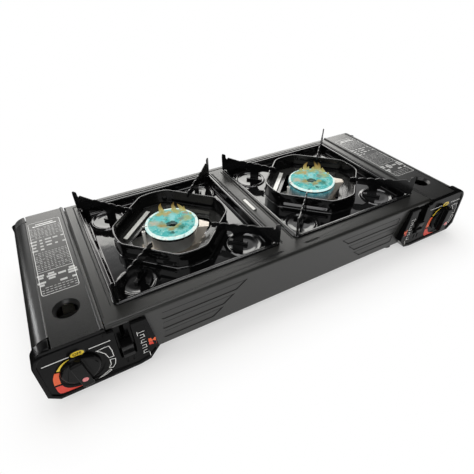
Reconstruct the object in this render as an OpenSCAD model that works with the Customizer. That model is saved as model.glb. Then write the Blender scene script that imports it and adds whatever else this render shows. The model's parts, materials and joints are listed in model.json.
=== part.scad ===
// Double-burner butane camping stove.
// X runs across the two burners, Y from the controls to the back, Z up.
// The origin is on the table, under the middle of the stove and its knobs.

/* [Body] */
// Width over both lids
body_w = 640; // [600:1:680]
// Depth from the back to the front edge of the lids
body_d = 258; // [250:1:280]
// Height of the cooking top above the table
top_h = 85; // [82:1:95]
// Thickness of the pressed steel sheet
sheet = 1.2; // [0.8:0.1:1.5]
// Height of the rubber feet
foot_h = 6; // [4:0.5:8]
// Radius of the rubber feet
foot_r = 9; // [6:0.5:12]
// How far the slanted front skirt leans back at its foot
skirt_lean = 8; // [4:0.5:10]
// Height of the skirt's lower edge above the table
skirt_low = 11; // [9:1:20]

/* [Lids] */
// Width of each cartridge lid
lid_w = 73; // [70:1:80]
// Radius of the rolled outer side of a lid
roll_r = 20; // [16:1:22]
// Length of the fixed shoulder at each end of the roll
shoulder_l = 16; // [12:1:20]
// Depth of the folded edge round a lid
lid_fold = 6; // [4:0.5:8]
// Radius of the finger hole
finger_r = 11.5; // [9:0.5:12]
// Radius of the pressed dimple round the finger hole
dimple_r = 14.5; // [13:0.5:17]
// Radius of the lid's hinge pins
hinge_r = 1.5; // [1.2:0.1:1.6]

/* [Burners] */
// Distance from the front edge of the lids back to the burners
burner_back = 133; // [128:1:138]
// Outer radius of the burner's steel rim
rim_r = 36; // [32:1:38]
// Outer radius of the cast cup under the rim
cup_r = 31; // [28:1:31]
// Height of the cast cup
cup_h = 27; // [22:1:28]
// Height of the burner's rim above the table
rim_z = 89; // [87:0.5:91]
// Outer radius of the mixing tube
mix_r = 8; // [7:0.5:8]
// Reach of the mixing tube from the burner's axis
mix_l = 62; // [58:1:66]
// Outer radius of the gas pipes
pipe_r = 3; // [2:0.5:3.5]

/* [Pan supports] */
// Width of the cooking top's strip between a lid and a drip pan
strip_w = 16; // [13:0.5:18]
// Width of the band between the two drip pans
band_w = 23; // [21:0.5:28]
// Width of the pan's rim
pan_rim = 6; // [5:0.5:7]
// Depth of the pan below the cooking top
pan_deep = 10.5; // [8:0.5:12]
// Distance across the raised collar, over its flats
collar_flat = 137; // [130:1:140]
// Distance across the raised collar, over its round corners
collar_w = 157; // [146:1:158]
// Height of the collar's bead above the cooking top
collar_h = 12.5; // [10:0.5:14]
// Thickness of a pot blade
blade_t = 2; // [1.5:0.1:3]
// Height of a blade's outer end above the cooking top
blade_h = 25.5; // [22:0.5:28]
// How far a blade climbs from its inner to its outer end
blade_rise = 7.5; // [4:0.5:9]
// Height of the spike at a blade's outer end above the blade
spike_h = 5.5; // [4:0.5:10]
// Number of serrations along a blade
serrations = 5; // [4:1:8]
// Radius of the ring pressed into the pan round each blade's middle leg
ring_r = 26; // [22:1:27]

/* [Controls] */
// How far the control panels stand in front of the lids
panel_proud = 4; // [3:0.5:6]
// Wall thickness of the panel mouldings
panel_wall = 2.4; // [2:0.1:3]
// Radius of the knobs
knob_r = 21.5; // [18:0.5:23]
// How far the knobs stand in front of the panels
knob_proud = 10; // [8:0.5:14]
// Height of the knobs' axis above the table
knob_z = 42.5; // [40:0.5:44]
// Width of the grip bar across a knob
grip_w = 12; // [9:0.5:14]
// Radius of the valve spindles
spindle_r = 3; // [2.5:0.1:3.5]
// Width of the lever's tab
tab_w = 13; // [10:0.5:14]
// Travel of the lever up its slot
lever_travel = 22; // [18:1:24]

/* [Cartridge bays] */
// Radius of the butane cartridge that a bay takes
cartridge_r = 33.5; // [33:0.5:34]
// Length of the cartridge and its valve
cartridge_l = 184; // [180:1:184]

/* [Hidden] */

$fn = 64;
LEFT = -1;
RIGHT = 1;
gap = 0.3;          // clearance between pieces that only lie side by side
fit = 0.05;         // radial running clearance of a pin or shaft in its hole
cut = 1;            // how far a cutting solid runs past the wall that it opens

// Planes of the body
half_w = body_w / 2;
overall_d = body_d + panel_proud + knob_proud;
back_y = overall_d / 2;
front_y = back_y - body_d;
panel_y = front_y - panel_proud;
knob_y = panel_y - knob_proud;
floor_z = foot_h + sheet;
under_top = top_h - sheet;
burner_y = front_y + burner_back;

// Sheet-metal shell
wall_x = half_w - 0.5;
wall_back = back_y - sheet - gap;
wall_front = front_y + 13;
back_wall_z = top_h - lid_fold - gap;
front_wall_z = foot_h + 12;
skirt_back_z = top_h - 45;
corner_r = 6;
lid_in = half_w - lid_w;
bay_gap = 0.5;
plate_x = lid_in - bay_gap;
plate_front = front_y + 0.5;
skirt_x = plate_x - 38.5;
groove_w = 1.6;
groove_d = 0.6;
slot_l = 34;
slot_w = 3;
bulk_x = plate_x - sheet - gap;
stay_w = 14;
stay_l = 76;
stay_y = burner_y - 9;
stay_foot = 12;
ledge_z = top_h - lid_fold - gap;
ledge_w = 8.5;

// Lid hinge: pins run along Y, just inside the roll's lower edge
roll_x = half_w - roll_r;
roll_z = top_h - roll_r;
hinge_x = half_w - 3.2;
hinge_z = roll_z - 3.8;
skirt_z = hinge_z - 2.2;
end_wall_z = hinge_z - 4.4;
roll_front = front_y + shoulder_l;
roll_back = back_y - shoulder_l;
shoulder_reach = 28.2;
finger_x = half_w - 43;
finger_y = front_y + 47.5;

// Screws
screw_r = 1.5;
head_r = 3;
foot_x = [-half_w + 17, -skirt_x + 10, skirt_x - 10, half_w - 17];
panel_screw_x = [plate_x - 32, half_w - 18];
panel_screw_z = foot_h + 8;

// Cartridge bay
bay_x = (wall_x - sheet + bulk_x) / 2;
bay_z = knob_z;
seat_r = cartridge_r + gap;
cradle_l = 110;
cradle_far = 2 * seat_r;

// Wells in the top plate and the pans in them
pan_w = plate_x - strip_w - band_w / 2;
pan_half = pan_w / 2;
burner_x = band_w / 2 + pan_half;
pan_in = pan_half - pan_rim;
pan_floor = top_h - pan_deep;
pan_corner = 6;
well_half = pan_in + 1;
well_floor = pan_floor - sheet - gap;
well_flat = 92;
well_round = 116;
well_rib_s = 55.5;
well_rib_l = 74;
well_rib_w = 8;
bead_w = 3.4;
bead_h = 2.2;
collar_z = top_h + collar_h;

// Pot blades, measured along the diagonal from the burner's axis
blade_in = 59;
blade_out = pan_half * sqrt(2) - 2.5;
blade_z = top_h + blade_h;
crest_end = 121;
inner_window_z = top_h + 8;
outer_window_z = top_h + 9.5;
leg_in = 89;
leg_w = 14;
leg_out = 133;
spike_w = 6;
notch_w = 4.5;
ring_s = leg_in + leg_w + 1;
ring_w = 6;
ring_h = 1.5;
clip_l = 26;
pan_inner_s = (pan_in - sheet - pan_corner) * sqrt(2) + pan_corner;
collar_s = collar_flat / 2;

// Burner
cup_z = rim_z - cup_h - 4;
cup_wall = 2;
cup_lip = 3;
arm_turn = -21;
arm_y = -11.2;
flap_z = rim_z - 2;
mix_z = cup_z - sheet - gap - mix_r;
throat_r = 11;
rim_h = 5;
plate_z = mix_z - mix_r - 0.6;
electrode_x = 39;
electrode_r = 2.5;
electrode_h = cup_h + 5;
bracket_w = 28;

// Gas pipe: leaves the regulator, runs across, then turns back to the jet
pipe_y = front_y + 42;
bend_r = 12;
jet_l = 10;
pipe_run_x = mix_l + 2 + jet_l + bend_r;

// Controls
knob_x = bay_x;
face_y = panel_y + 1.4;
dial_r = knob_r + 4;
grip_turn = 8;
dial_y = face_y + 1;
lever_x = plate_x - 15.5;
pocket_w = tab_w + 5;
pocket_z = 31;
pocket_y = panel_y + 9;
panel_back = wall_front - gap;
panel_top = top_h + 1;
panel_low = 8;
ledge_top = top_h - 6;
tab_z = 34;
tab_h = 18;
regulator_w = 30;
regulator_front = front_y + 19;
regulator_back = front_y + 55;
nozzle_end = regulator_back + 8;
guide_y = regulator_back + 2;
clamp_y = nozzle_end + cartridge_l - 2;

// Flips a right-hand piece to make the left-hand one
module on_side(side) {
    if (side < 0) mirror([1, 0, 0]) children();
    else children();
}

// Turns a drawing of the XZ plane so that it extrudes along +Y from y
module along_y(y, length) {
    translate([0, y + length, 0])
        rotate([90, 0, 0])
            linear_extrude(length) children();
}

// Turns a drawing of the YZ plane so that it extrudes along +X from x
module along_x(x, length) {
    translate([x, 0, 0])
        rotate([90, 0, 90])
            linear_extrude(length) children();
}

// Rectangle with round corners, centred
module round_rect(w, d, r) {
    square([w - 2 * r, d], center = true);
    square([w, d - 2 * r], center = true);
    for (x = [-1, 1], y = [-1, 1])
        translate([x * (w / 2 - r), y * (d / 2 - r)]) circle(r);
}

// Slot with round ends along X, centred
module slot(length, width) {
    square([length - width, width], center = true);
    for (x = [-1, 1]) translate([x * (length - width) / 2, 0]) circle(width / 2);
}

// Square on its corner with its corners rounded by a circle
module collar_shape(across_flats, across_round) {
    intersection() {
        circle(across_round / 2, $fn = 96);
        rotate(45) square(across_flats, center = true);
    }
}

// Section of the body end in the XZ plane, set in by o from the outer skin
module end_section(o) {
    translate([lid_in + o, 0]) square([roll_x - lid_in - o, top_h - o]);
    translate([roll_x, roll_z]) circle(roll_r - o);
    translate([roll_x, 0]) square([roll_r - o, roll_z]);
}

// The stretch of that section that a shoulder fills, clear of the lid's swing
module shoulder_section(o, low) {
    intersection() {
        end_section(o);
        translate([hinge_x, hinge_z]) circle(shoulder_reach - o);
        translate([roll_x + 0.8 + o, low]) square([roll_r, top_h]);
    }
}

// ---- Body shell ----

module base_outline(o) {
    translate([0, (wall_back + wall_front) / 2])
        round_rect(2 * (wall_x - o), wall_back - wall_front - 2 * o, corner_r - o);
}

module base_pan() {
    vent_l = 70;
    vent_w = 6;
    vent_pitch = 14;
    color("#1b1b1c") {
        difference() {
            translate([0, 0, foot_h]) linear_extrude(back_wall_z - foot_h) base_outline(0);
            translate([0, 0, floor_z]) linear_extrude(top_h) base_outline(sheet);
            // the end walls stop under the lids, the front wall behind the skirt
            translate([-half_w, wall_front - cut, end_wall_z])
                cube([body_w, wall_back - wall_front - corner_r, top_h]);
            translate([-wall_x + corner_r, wall_front - cut, front_wall_z])
                cube([2 * (wall_x - corner_r), sheet + 2 * cut, top_h]);
            // vents under the burners
            for (x = [-burner_x, burner_x], i = [-2:2])
                translate([x, burner_y + i * vent_pitch, foot_h - cut])
                    linear_extrude(sheet + 2 * cut) slot(vent_l, vent_w);
            at_feet() translate([0, 0, foot_h - cut]) cylinder(r = screw_r + 0.2, h = sheet + 2 * cut);
            for (side = [LEFT, RIGHT], x = panel_screw_x)
                along_y(wall_front - cut, sheet + 2 * cut)
                    translate([side * x, panel_screw_z]) circle(screw_r + 0.2);
        }
        for (side = [LEFT, RIGHT]) on_side(side) back_shoulder();
    }
}

// Fixed end of the roll at the back corner, which holds the rear hinge pin
module back_shoulder() {
    difference() {
        along_y(roll_back + 0.6, shoulder_l - 0.6) shoulder_section(0, end_wall_z - 8);
        along_y(roll_back + 3, shoulder_l) shoulder_section(2, end_wall_z + 0.5);
        translate([0, wall_back - sheet, 0]) cube([half_w, sheet + cut + gap, end_wall_z]);
        translate([0, roll_back, 0]) cube([wall_x, shoulder_l + cut, end_wall_z]);
        translate([hinge_x, roll_back - cut, hinge_z])
            rotate([-90, 0, 0]) cylinder(r = hinge_r + fit, h = shoulder_l);
    }
    translate([hinge_x, roll_back + 2, hinge_z])
        rotate([-90, 0, 0]) difference() {
            cylinder(r = hinge_r + 1.4, h = 6);
            translate([0, 0, -cut]) cylinder(r = hinge_r + fit, h = 8);
        }
}

// Four feet under the burners and four under the cartridge bays
module at_feet() {
    for (x = foot_x, y = [wall_front + foot_r + 1, wall_back - foot_r - 4])
        translate([x, y, 0]) children();
}

module feet() {
    color("#151515") at_feet() difference() {
        rotate_extrude() polygon([
            [0, 0], [foot_r - 1, 0], [foot_r, 1], [foot_r - 1, foot_h], [0, foot_h]
        ]);
        translate([0, 0, -cut]) cylinder(r = head_r + 0.2, h = foot_h / 2 + cut);
        cylinder(r = screw_r, h = foot_h + cut);
    }
}

module base_screws() {
    color("#9a9a98") at_feet() {
        translate([0, 0, foot_h / 2 - 2]) cylinder(r = head_r, h = 2);
        translate([0, 0, foot_h / 2 - 1]) cylinder(r = screw_r, h = floor_z + 2 - foot_h / 2);
    }
}

// Section of the top plate in the YZ plane: back fold, top and slanted skirt
function arc(cx, cy, r, a0, a1, n) =
    [for (i = [0:n]) let (a = a0 + (a1 - a0) * i / n) [cx + r * cos(a), cy + r * sin(a)]];
skirt_angle = atan(skirt_lean / (top_h - skirt_low));

module plate_section(o) {
    r = 4 - o;
    polygon(concat(
        [[back_y - o, skirt_back_z - (o > 0 ? cut : 0)]],
        arc(back_y - 4, top_h - 4, r, 0, 90, 6),
        arc(plate_front + 4, top_h - 4, r, 90, 180 + skirt_angle, 6),
        [[plate_front + skirt_lean + o, skirt_low - (o > 0 ? cut : 0)],
         [plate_front + skirt_lean + o + (o > 0 ? 0 : sheet), skirt_low - (o > 0 ? cut : 0)],
         [plate_front + 30, skirt_low - (o > 0 ? cut : 0)],
         [plate_front + 30, skirt_back_z - (o > 0 ? cut : 0)]]
    ));
}

// A point on the skirt's outer face at height z
function skirt_y(z) = plate_front + skirt_lean * (top_h - 4 - z) / (top_h - 4 - skirt_low);

// Shallow panel pressed into the skirt, with a slanted inner end; z is its upper edge
module skirt_recess(x0, x1, z) {
    depth = 0.8;
    band = 13;
    slant = 14;
    r = 3;
    translate([0, skirt_y(z), z]) rotate([90 + skirt_angle, 0, 0])
        translate([0, 0, -depth]) linear_extrude(depth + cut) {
            polygon([[x0, 0], [x1 - r, 0], [x1, -r], [x1, -band + r], [x1 - r, -band], [x0 + slant, -band]]);
            for (y = [-r, -band + r]) translate([x1 - r, y]) circle(r);
        }
}

module top_plate() {
    recess_z = [top_h - 13, top_h - 32, top_h - 50];
    recess_in = [75, 92, 107];
    recess_out = 187;
    color("#2a2a29") difference() {
        union() {
            difference() {
                along_x(-plate_x, 2 * plate_x) plate_section(0);
                along_x(-plate_x - cut, 2 * plate_x + 2 * cut) plate_section(sheet);
                for (x = [-burner_x, burner_x]) translate([x, burner_y, under_top - cut])
                    linear_extrude(sheet + 2 * cut) round_rect(2 * well_half, 2 * well_half, pan_corner + 1);
            }
            // folds along both sides of the plate
            for (side = [LEFT, RIGHT]) on_side(side)
                translate([plate_x - sheet, plate_front + 4, ledge_z + gap])
                    cube([sheet, body_d - 10, under_top + sheet / 2 - ledge_z - gap]);
        }
        // the skirt ends behind the control panels, under a short lip
        for (side = [LEFT, RIGHT]) on_side(side)
            translate([skirt_x, front_y - cut, 0])
                cube([half_w, 16, ledge_top + 0.5]);
        for (i = [0:2], side = [LEFT, RIGHT])
            on_side(side) skirt_recess(recess_in[i], recess_out, recess_z[i]);
        top_grooves();
    }
    color("#2a2a29") slot_hood();
}

// Low hood over the slot between the burners, open towards the right
module slot_hood() {
    rise = 2.2;
    skin = 0.7;
    foot = -slot_w / 2 - 3;
    mouth = slot_w / 2;
    start = burner_y - 8 - slot_l / 2;
    along_y(start, slot_l) polygon([
        [foot, top_h], [mouth, top_h + rise], [mouth, top_h + rise - skin], [foot + 1.9, top_h], [foot, top_h - 0.3]
    ]);
    for (y = [start - 0.5, start + slot_l - 0.5]) along_y(y, 1)
        polygon([[foot, top_h - 0.3], [foot, top_h], [mouth, top_h + rise], [mouth, top_h - 0.3]]);
}

// Square recess under the top plate that takes a drip pan, with the burner's opening in its floor
module pan_well(side) {
    flange = 5;
    color("#262625") translate([side * burner_x, burner_y, 0]) {
        difference() {
            union() {
                translate([0, 0, well_floor - sheet]) linear_extrude(under_top - well_floor + sheet)
                    round_rect(2 * (well_half + sheet), 2 * (well_half + sheet), pan_corner + 1 + sheet);
                translate([0, 0, under_top - sheet]) linear_extrude(sheet)
                    round_rect(2 * (well_half + sheet + flange), 2 * (well_half + sheet + flange), pan_corner + 6);
            }
            translate([0, 0, well_floor]) linear_extrude(top_h)
                round_rect(2 * well_half, 2 * well_half, pan_corner + 1);
            translate([0, 0, well_floor - sheet - cut]) linear_extrude(sheet + 2 * cut)
                collar_shape(well_flat, well_round);
        }
        // a rib along each flat side of the opening
        for (a = [45:90:315]) rotate(a) translate([well_rib_s, 0, well_floor - sheet / 2]) rotate(90)
            linear_extrude(3 + sheet / 2) slot(well_rib_l, well_rib_w);
    }
}

module top_grooves() {
    edge_x = plate_x - 12.5;
    back_groove_y = back_y - 10;
    middle_x = 8;
    dash_x = 28.5;
    for (x = [-edge_x, edge_x])
        translate([x - groove_w / 2, plate_front + 26, top_h - groove_d])
            cube([groove_w, back_groove_y - plate_front - 26, 2 * groove_d]);
    translate([-edge_x, back_groove_y - groove_w / 2, top_h - groove_d])
        cube([2 * edge_x, groove_w, 2 * groove_d]);
    for (x = [-middle_x, middle_x])
        translate([x - groove_w / 2, plate_front + 26, top_h - groove_d])
            cube([groove_w, back_groove_y - plate_front - 36, 2 * groove_d]);
    translate([0, burner_y - 8, under_top - cut])
        rotate(90) linear_extrude(sheet + 2 * cut) slot(slot_l, slot_w);
    // short dashes in front of the pans
    for (x = [-dash_x, dash_x]) translate([x, front_y + 10.5, top_h - groove_d])
        linear_extrude(2 * groove_d) slot(24, 3.6);
}

// ---- Cartridge bays ----

// Folded strip that carries the middle of the cooking top, seen through its slot
module centre_stay() {
    color("#d9dbda") translate([0, stay_y, 0]) {
        translate([-stay_w / 2, -stay_l / 2, under_top - sheet]) cube([stay_w, stay_l, sheet]);
        for (m = [0, 1]) mirror([0, m, 0]) {
            translate([-stay_w / 2, stay_l / 2 - sheet, floor_z]) cube([stay_w, sheet, under_top - floor_z]);
            translate([-stay_w / 2, stay_l / 2 - sheet, floor_z]) cube([stay_w, stay_foot, sheet]);
        }
    }
}

module bulkhead() {
    low = floor_z;
    color("#202020") difference() {
        union() {
            translate([bulk_x - sheet, wall_front + 3, low])
                cube([sheet, wall_back - wall_front - 6 - sheet, under_top - low]);
            translate([bulk_x - sheet, wall_front + 3, ledge_z - sheet])
                cube([ledge_w, wall_back - wall_front - 6 - sheet, sheet]);
        }
        translate([bulk_x - sheet - cut, pipe_y, mix_z])
            rotate([0, 90, 0]) cylinder(r = pipe_r + 1, h = sheet + 2 * cut);
        // warm air passes from the burner to the cartridge through these slots
        for (i = [0:4]) translate([bulk_x - sheet - cut, burner_y - 48 + 24 * i, knob_z])
            rotate([90, 90, 90]) linear_extrude(sheet + 2 * cut) slot(20, 5);
    }
}

module cradle() {
    edge = 40;
    inner = 17;
    rib = 1.5;
    leg_x = (seat_r + rib) * sin(edge);
    color("#8f9190") translate([bay_x, 0, 0])
        along_y(burner_y - 30, cradle_l) for (m = [0, 1]) mirror([m, 0]) {
            intersection() {
                translate([0, bay_z]) difference() {
                    circle(seat_r + rib, $fn = 96);
                    circle(seat_r, $fn = 96);
                }
                translate([0, bay_z]) polygon([
                    [0, 0], [cradle_far * sin(inner), -cradle_far * cos(inner)],
                    [cradle_far * sin(edge), -cradle_far * cos(edge)]
                ]);
            }
            translate([leg_x - rib, floor_z])
                square([rib, bay_z - floor_z - (seat_r + 0.6) * cos(edge)]);
        }
}

module guide_plate() {
    hole_r = 16;
    key_w = 4;
    color("#a7a9a8") along_y(guide_y, 1.5) difference() {
        translate([bay_x - 26, floor_z]) square([52, bay_z + 24 - floor_z]);
        difference() {
            translate([bay_x, bay_z]) circle(hole_r);
            translate([bay_x - key_w / 2, bay_z + hole_r - 3]) square([key_w, 6]);
        }
        translate([bay_x - 9, floor_z - cut]) square([18, 3 + cut]);
    }
}

module regulator() {
    w = regulator_w;
    color("#b9bab7") translate([bay_x, 0, bay_z]) {
        difference() {
            union() {
                along_y(regulator_front, regulator_back - regulator_front)
                    round_rect(w, w, 5);
                along_y(regulator_front - 2, 2) circle(9);
                along_y(regulator_back, nozzle_end - regulator_back) circle(7);
                // side outlet that takes the gas pipe
                translate([-w / 2 - 3, pipe_y, mix_z - bay_z]) rotate([0, 90, 0]) cylinder(r = 5, h = 8);
            }
            along_y(regulator_front - 2 - cut, 14 + cut) circle(spindle_r + fit);
            along_y(nozzle_end - 6, 6 + cut) circle(1.8);
        }
        translate([-12, regulator_front + 4, floor_z - bay_z])
            cube([24, regulator_back - regulator_front - 8, bay_z - floor_z - w / 2]);
    }
}

module cartridge_clamp() {
    strip_z = floor_z + gap;
    color("#8f9190") translate([bay_x, 0, 0]) {
        translate([-8, guide_y + 3, strip_z]) cube([16, clamp_y - guide_y - 3 + 1.5, 1.2]);
        along_y(clamp_y, 1.5) difference() {
            union() {
                translate([-14, strip_z]) square([28, bay_z - strip_z]);
                translate([0, bay_z]) circle(14);
            }
            translate([0, bay_z]) circle(6);
        }
    }
}

// ---- Burners ----

module gas_pipe(side) {
    start_x = side * (bay_x - regulator_w / 2 - 3);
    run_x = side * burner_x + pipe_run_x;
    toward = run_x > start_x ? 1 : -1;
    corner_x = run_x - toward * bend_r;
    end_y = burner_y - bend_r;
    color("#a9845a") translate([0, 0, mix_z]) {
        translate([min(start_x, corner_x), pipe_y, 0])
            rotate([0, 90, 0]) cylinder(r = pipe_r, h = abs(corner_x - start_x));
        translate([corner_x, pipe_y + bend_r, 0])
            rotate(toward > 0 ? -90 : 180) rotate_extrude(angle = 90)
                translate([bend_r, 0]) circle(pipe_r);
        translate([run_x, pipe_y + bend_r, 0])
            rotate([-90, 0, 0]) cylinder(r = pipe_r, h = end_y - pipe_y - bend_r);
        translate([run_x - bend_r, end_y, 0])
            rotate_extrude(angle = 90) translate([bend_r, 0]) circle(pipe_r);
    }
}

module jet(side) {
    color("#c8a24a") translate([side * burner_x + mix_l + 2, burner_y, mix_z])
        rotate([0, 90, 0]) {
            cylinder(r = 6, h = jet_l, $fn = 6);
            translate([0, 0, -5]) cylinder(r = 2.5, h = 5);
        }
}

module heat_plate(side) {
    w = 112;
    d = 116;
    leg = 14;
    color("#c9cac8") translate([side * burner_x, burner_y, 0]) {
        difference() {
            translate([0, 0, plate_z - sheet]) linear_extrude(sheet) round_rect(w, d, 8);
            for (a = [45:90:315]) rotate(a) translate([34, 0, plate_z - sheet - cut])
                cylinder(r = 5, h = sheet + 2 * cut);
        }
        for (x = [-1, 1], y = [-1, 1])
            translate([x * (w / 2 - sheet / 2) - sheet / 2, y * (d / 2 - 16) - leg / 2, floor_z])
                cube([sheet, leg, plate_z - sheet - floor_z]);
    }
}

module burner_bracket(side) {
    top_z = cup_z;
    low_z = plate_z;
    reach = 44;
    color("#c2b9a3") translate([side * burner_x, burner_y, 0]) {
        difference() {
            translate([-reach, -bracket_w / 2, low_z]) cube([2 * reach + sheet, bracket_w, top_z - low_z]);
            translate([-reach - cut, -bracket_w / 2 + sheet, low_z - cut])
                cube([2 * reach + sheet + 2 * cut, bracket_w - 2 * sheet, top_z - sheet - low_z + cut]);
            translate([0, 0, low_z]) cylinder(r = throat_r + gap, h = top_z);
            translate([-electrode_x, 8, top_z - sheet - cut]) cylinder(r = electrode_r + fit, h = sheet + 2 * cut);
        }
        // arm beside the cup: a tongue, a tapered web, and a flap folded out under the rim
        translate([cup_r - 13, -bracket_w / 2 - 9, top_z - sheet]) cube([14, 9 + sheet, sheet]);
        rotate(arm_turn) translate([0, arm_y + sheet, 0]) rotate([90, 0, 0]) linear_extrude(sheet)
            polygon([
                [cup_r - 4, top_z - sheet], [cup_r + 3, top_z - sheet], [rim_r + 14.5, flap_z],
                [rim_r - 0.2, flap_z], [rim_r - 2.5, flap_z - 8], [cup_r - 0.6, top_z + 6], [cup_r - 2.5, top_z + 1]
            ]);
        rotate(arm_turn) translate([0, 0, flap_z - sheet]) linear_extrude(sheet)
            polygon([
                [rim_r + 0.8, arm_y], [rim_r + 14.5, arm_y], [rim_r + 15.5, arm_y + 10], [rim_r + 2, arm_y + 18]
            ]);
    }
}

module burner_cup(side) {
    lip = rim_z - rim_h;
    color("#8d8f90") translate([side * burner_x, burner_y, 0]) difference() {
        union() {
            rotate_extrude($fn = 96) polygon([
                [0, cup_z], [cup_r - 4, cup_z], [cup_r - 1, cup_z + 3],
                [cup_r, lip - 4], [cup_r + cup_lip, lip - 1.5], [cup_r + cup_lip, lip], [0, lip]
            ]);
            translate([0, 0, mix_z - mix_r]) cylinder(r = throat_r, h = cup_z - mix_z + mix_r + 1);
            translate([0, 0, mix_z]) rotate([0, 90, 0]) cylinder(r = mix_r, h = mix_l);
        }
        rotate_extrude($fn = 96) polygon([
            [0, cup_z + cup_wall], [cup_r - 5, cup_z + cup_wall], [cup_r - 3, cup_z + 5],
            [cup_r - 2, lip + cut], [0, lip + cut]
        ]);
        translate([0, 0, mix_z]) cylinder(r = mix_r - 2, h = top_h);
        translate([0, 0, mix_z]) rotate([0, 90, 0]) cylinder(r = mix_r - 2, h = mix_l + cut);
    }
}

module burner_rim(side) {
    lip = rim_z - rim_h;
    color("#d8dadb") translate([side * burner_x, burner_y, 0])
        rotate_extrude($fn = 96) polygon([
            [cup_r - 4, lip], [cup_r + 0.5, lip], [rim_r - 1, rim_z - 2.2],
            [rim_r, rim_z - 1.8], [rim_r, rim_z - 0.3], [rim_r - 0.3, rim_z], [rim_r - 3, rim_z],
            [rim_r - 3.8, rim_z - 0.8], [cup_r - 0.5, lip + 1.2], [cup_r - 4, lip + 1.2]
        ]);
}

module burner_cap(side) {
    lip = rim_z - rim_h;
    cap_r = cup_r - 4;
    hole_r = 7;
    ports = 20;
    color("#6f7a7a") translate([side * burner_x, burner_y, 0]) difference() {
        rotate_extrude($fn = 96) polygon([
            [hole_r, cup_z + cup_wall], [hole_r + 2, cup_z + cup_wall], [hole_r + 2, lip - 4],
            [cap_r - 0.5, lip - 4], [cap_r - 0.5, lip - 1], [hole_r + 4, lip + 1], [hole_r, lip - 1]
        ]);
        for (i = [0:ports - 1]) rotate(i * 360 / ports)
            translate([hole_r + 5.5, 3, lip - 2])
                rotate(20) cube([cap_r - hole_r - 8, 1.4, 4]);
    }
}

module electrode(side) {
    color("#efece4") translate([side * burner_x - electrode_x, burner_y + 8, cup_z - sheet - 5])
        cylinder(r = electrode_r, h = electrode_h);
}

module electrode_tip(side) {
    wire_r = 0.8;
    low = cup_z - sheet - 5 + electrode_h;
    high = rim_z + 1.5 + wire_r;
    color("#b4b6b6") translate([side * burner_x - electrode_x, burner_y + 8, 0]) {
        translate([0, 0, low]) cylinder(r = wire_r, h = high - low);
        translate([0, 0, high]) sphere(wire_r, $fn = 24);
        translate([0, 0, high]) rotate([0, 90, 0]) cylinder(r = wire_r, h = 6);
    }
}

// ---- Controls ----

// Front view of the right panel in the XZ plane, set in by o
module panel_outline(o) {
    corner = 18;
    side_x = half_w + panel_wall - 0.2;
    polygon(concat(
        [[plate_x - 42 + o, ledge_top - o], [plate_x - 50 + o, 26 - o / 3],
         [plate_x - 37.5 + o / 3, 10.5 + o], [plate_x - 24.5, panel_low + o],
         [side_x - 10.5 - o / 3, panel_low + o], [side_x - o, panel_low + 10 + o / 3]],
        arc(side_x - corner, panel_top - corner, corner - o, 0, 90, 10),
        [[plate_x + 0.5 + o, panel_top - o], [plate_x + 0.5 + o, ledge_top - o]]
    ));
}

// Side view of the panel in the YZ plane: a rounded brow and a plain foot
module panel_side(y0, y1) {
    brow = 7;
    polygon(concat(
        [[y1, panel_low - cut], [y1, panel_top]],
        arc(y0 + brow, panel_top - brow, brow, 90, 180, 8),
        [[y0, panel_low - cut]]
    ));
}

module control_panel() {
    lid_clear = front_y - gap;
    color("#151516") difference() {
        union() {
            difference() {
                intersection() {
                    along_y(panel_y, panel_back - panel_y) panel_outline(0);
                    along_x(0, half_w + 5) panel_side(panel_y, panel_back);
                }
                along_y(panel_y + 4.2, body_d) panel_outline(panel_wall);
                along_y(panel_y - cut, face_y - panel_y + cut) panel_outline(4.5);
                // room for the lid and for the top plate's lip
                translate([0, lid_clear, ledge_top - gap]) cube([roll_x + 0.8, body_d, top_h]);
            }
            // pocket that the lever slides in
            translate([lever_x - pocket_w / 2 - 2, face_y, pocket_z - 2])
                cube([pocket_w + 4, pocket_y + 2 - face_y, ledge_top - pocket_z + 2 - gap]);
            // fixed shoulder that carries the front hinge pin
            along_y(front_y - gap, roll_front - 0.6 - front_y + gap)
                shoulder_section(0, end_wall_z + gap);
            along_y(face_y + 1, 8) translate([knob_x, knob_z]) circle(spindle_r + 4);
            for (x = panel_screw_x) along_y(face_y + 1, panel_back - face_y - 1)
                translate([x, panel_screw_z]) circle(screw_r + 2.5);
        }
        for (x = panel_screw_x)
            along_y(panel_back - 8.5, 10) translate([x, panel_screw_z]) circle(screw_r);
        translate([lever_x - pocket_w / 2, panel_y - cut, pocket_z])
            cube([pocket_w, pocket_y - panel_y + cut, top_h]);
        along_y(panel_y - cut, 20) translate([lever_x, (pocket_z + 4 + ledge_top - 4) / 2])
            rotate(90) slot(ledge_top - pocket_z - 8, 4);
        // two small notches under the pocket
        for (x = [-3.5, 3.5]) translate([lever_x + x - 0.8, face_y - cut, 20]) cube([1.6, cut + 0.8, 8]);
        along_y(face_y - cut, dial_y - face_y + cut) translate([knob_x, knob_z]) circle(dial_r);
        along_y(panel_y - cut, 20) translate([knob_x, knob_z]) circle(spindle_r + 0.6);
        along_y(front_y, shoulder_l + cut) translate([hinge_x, hinge_z]) circle(hinge_r + fit);
        // the inner end lies against the slanted skirt
        along_x(0, skirt_x + gap) polygon([
            [skirt_y(top_h) - gap, top_h + cut], [skirt_y(0) - gap, 0], [back_y, 0], [back_y, top_h + cut]
        ]);
        along_y(front_y + 2, shoulder_l) shoulder_hollow();
    }
}

// Space inside the panel's shoulder, round the boss of the hinge pin
module shoulder_hollow() {
    difference() {
        shoulder_section(2, end_wall_z + gap + 2);
        translate([hinge_x, hinge_z]) circle(hinge_r + 1.6);
    }
}

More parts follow.
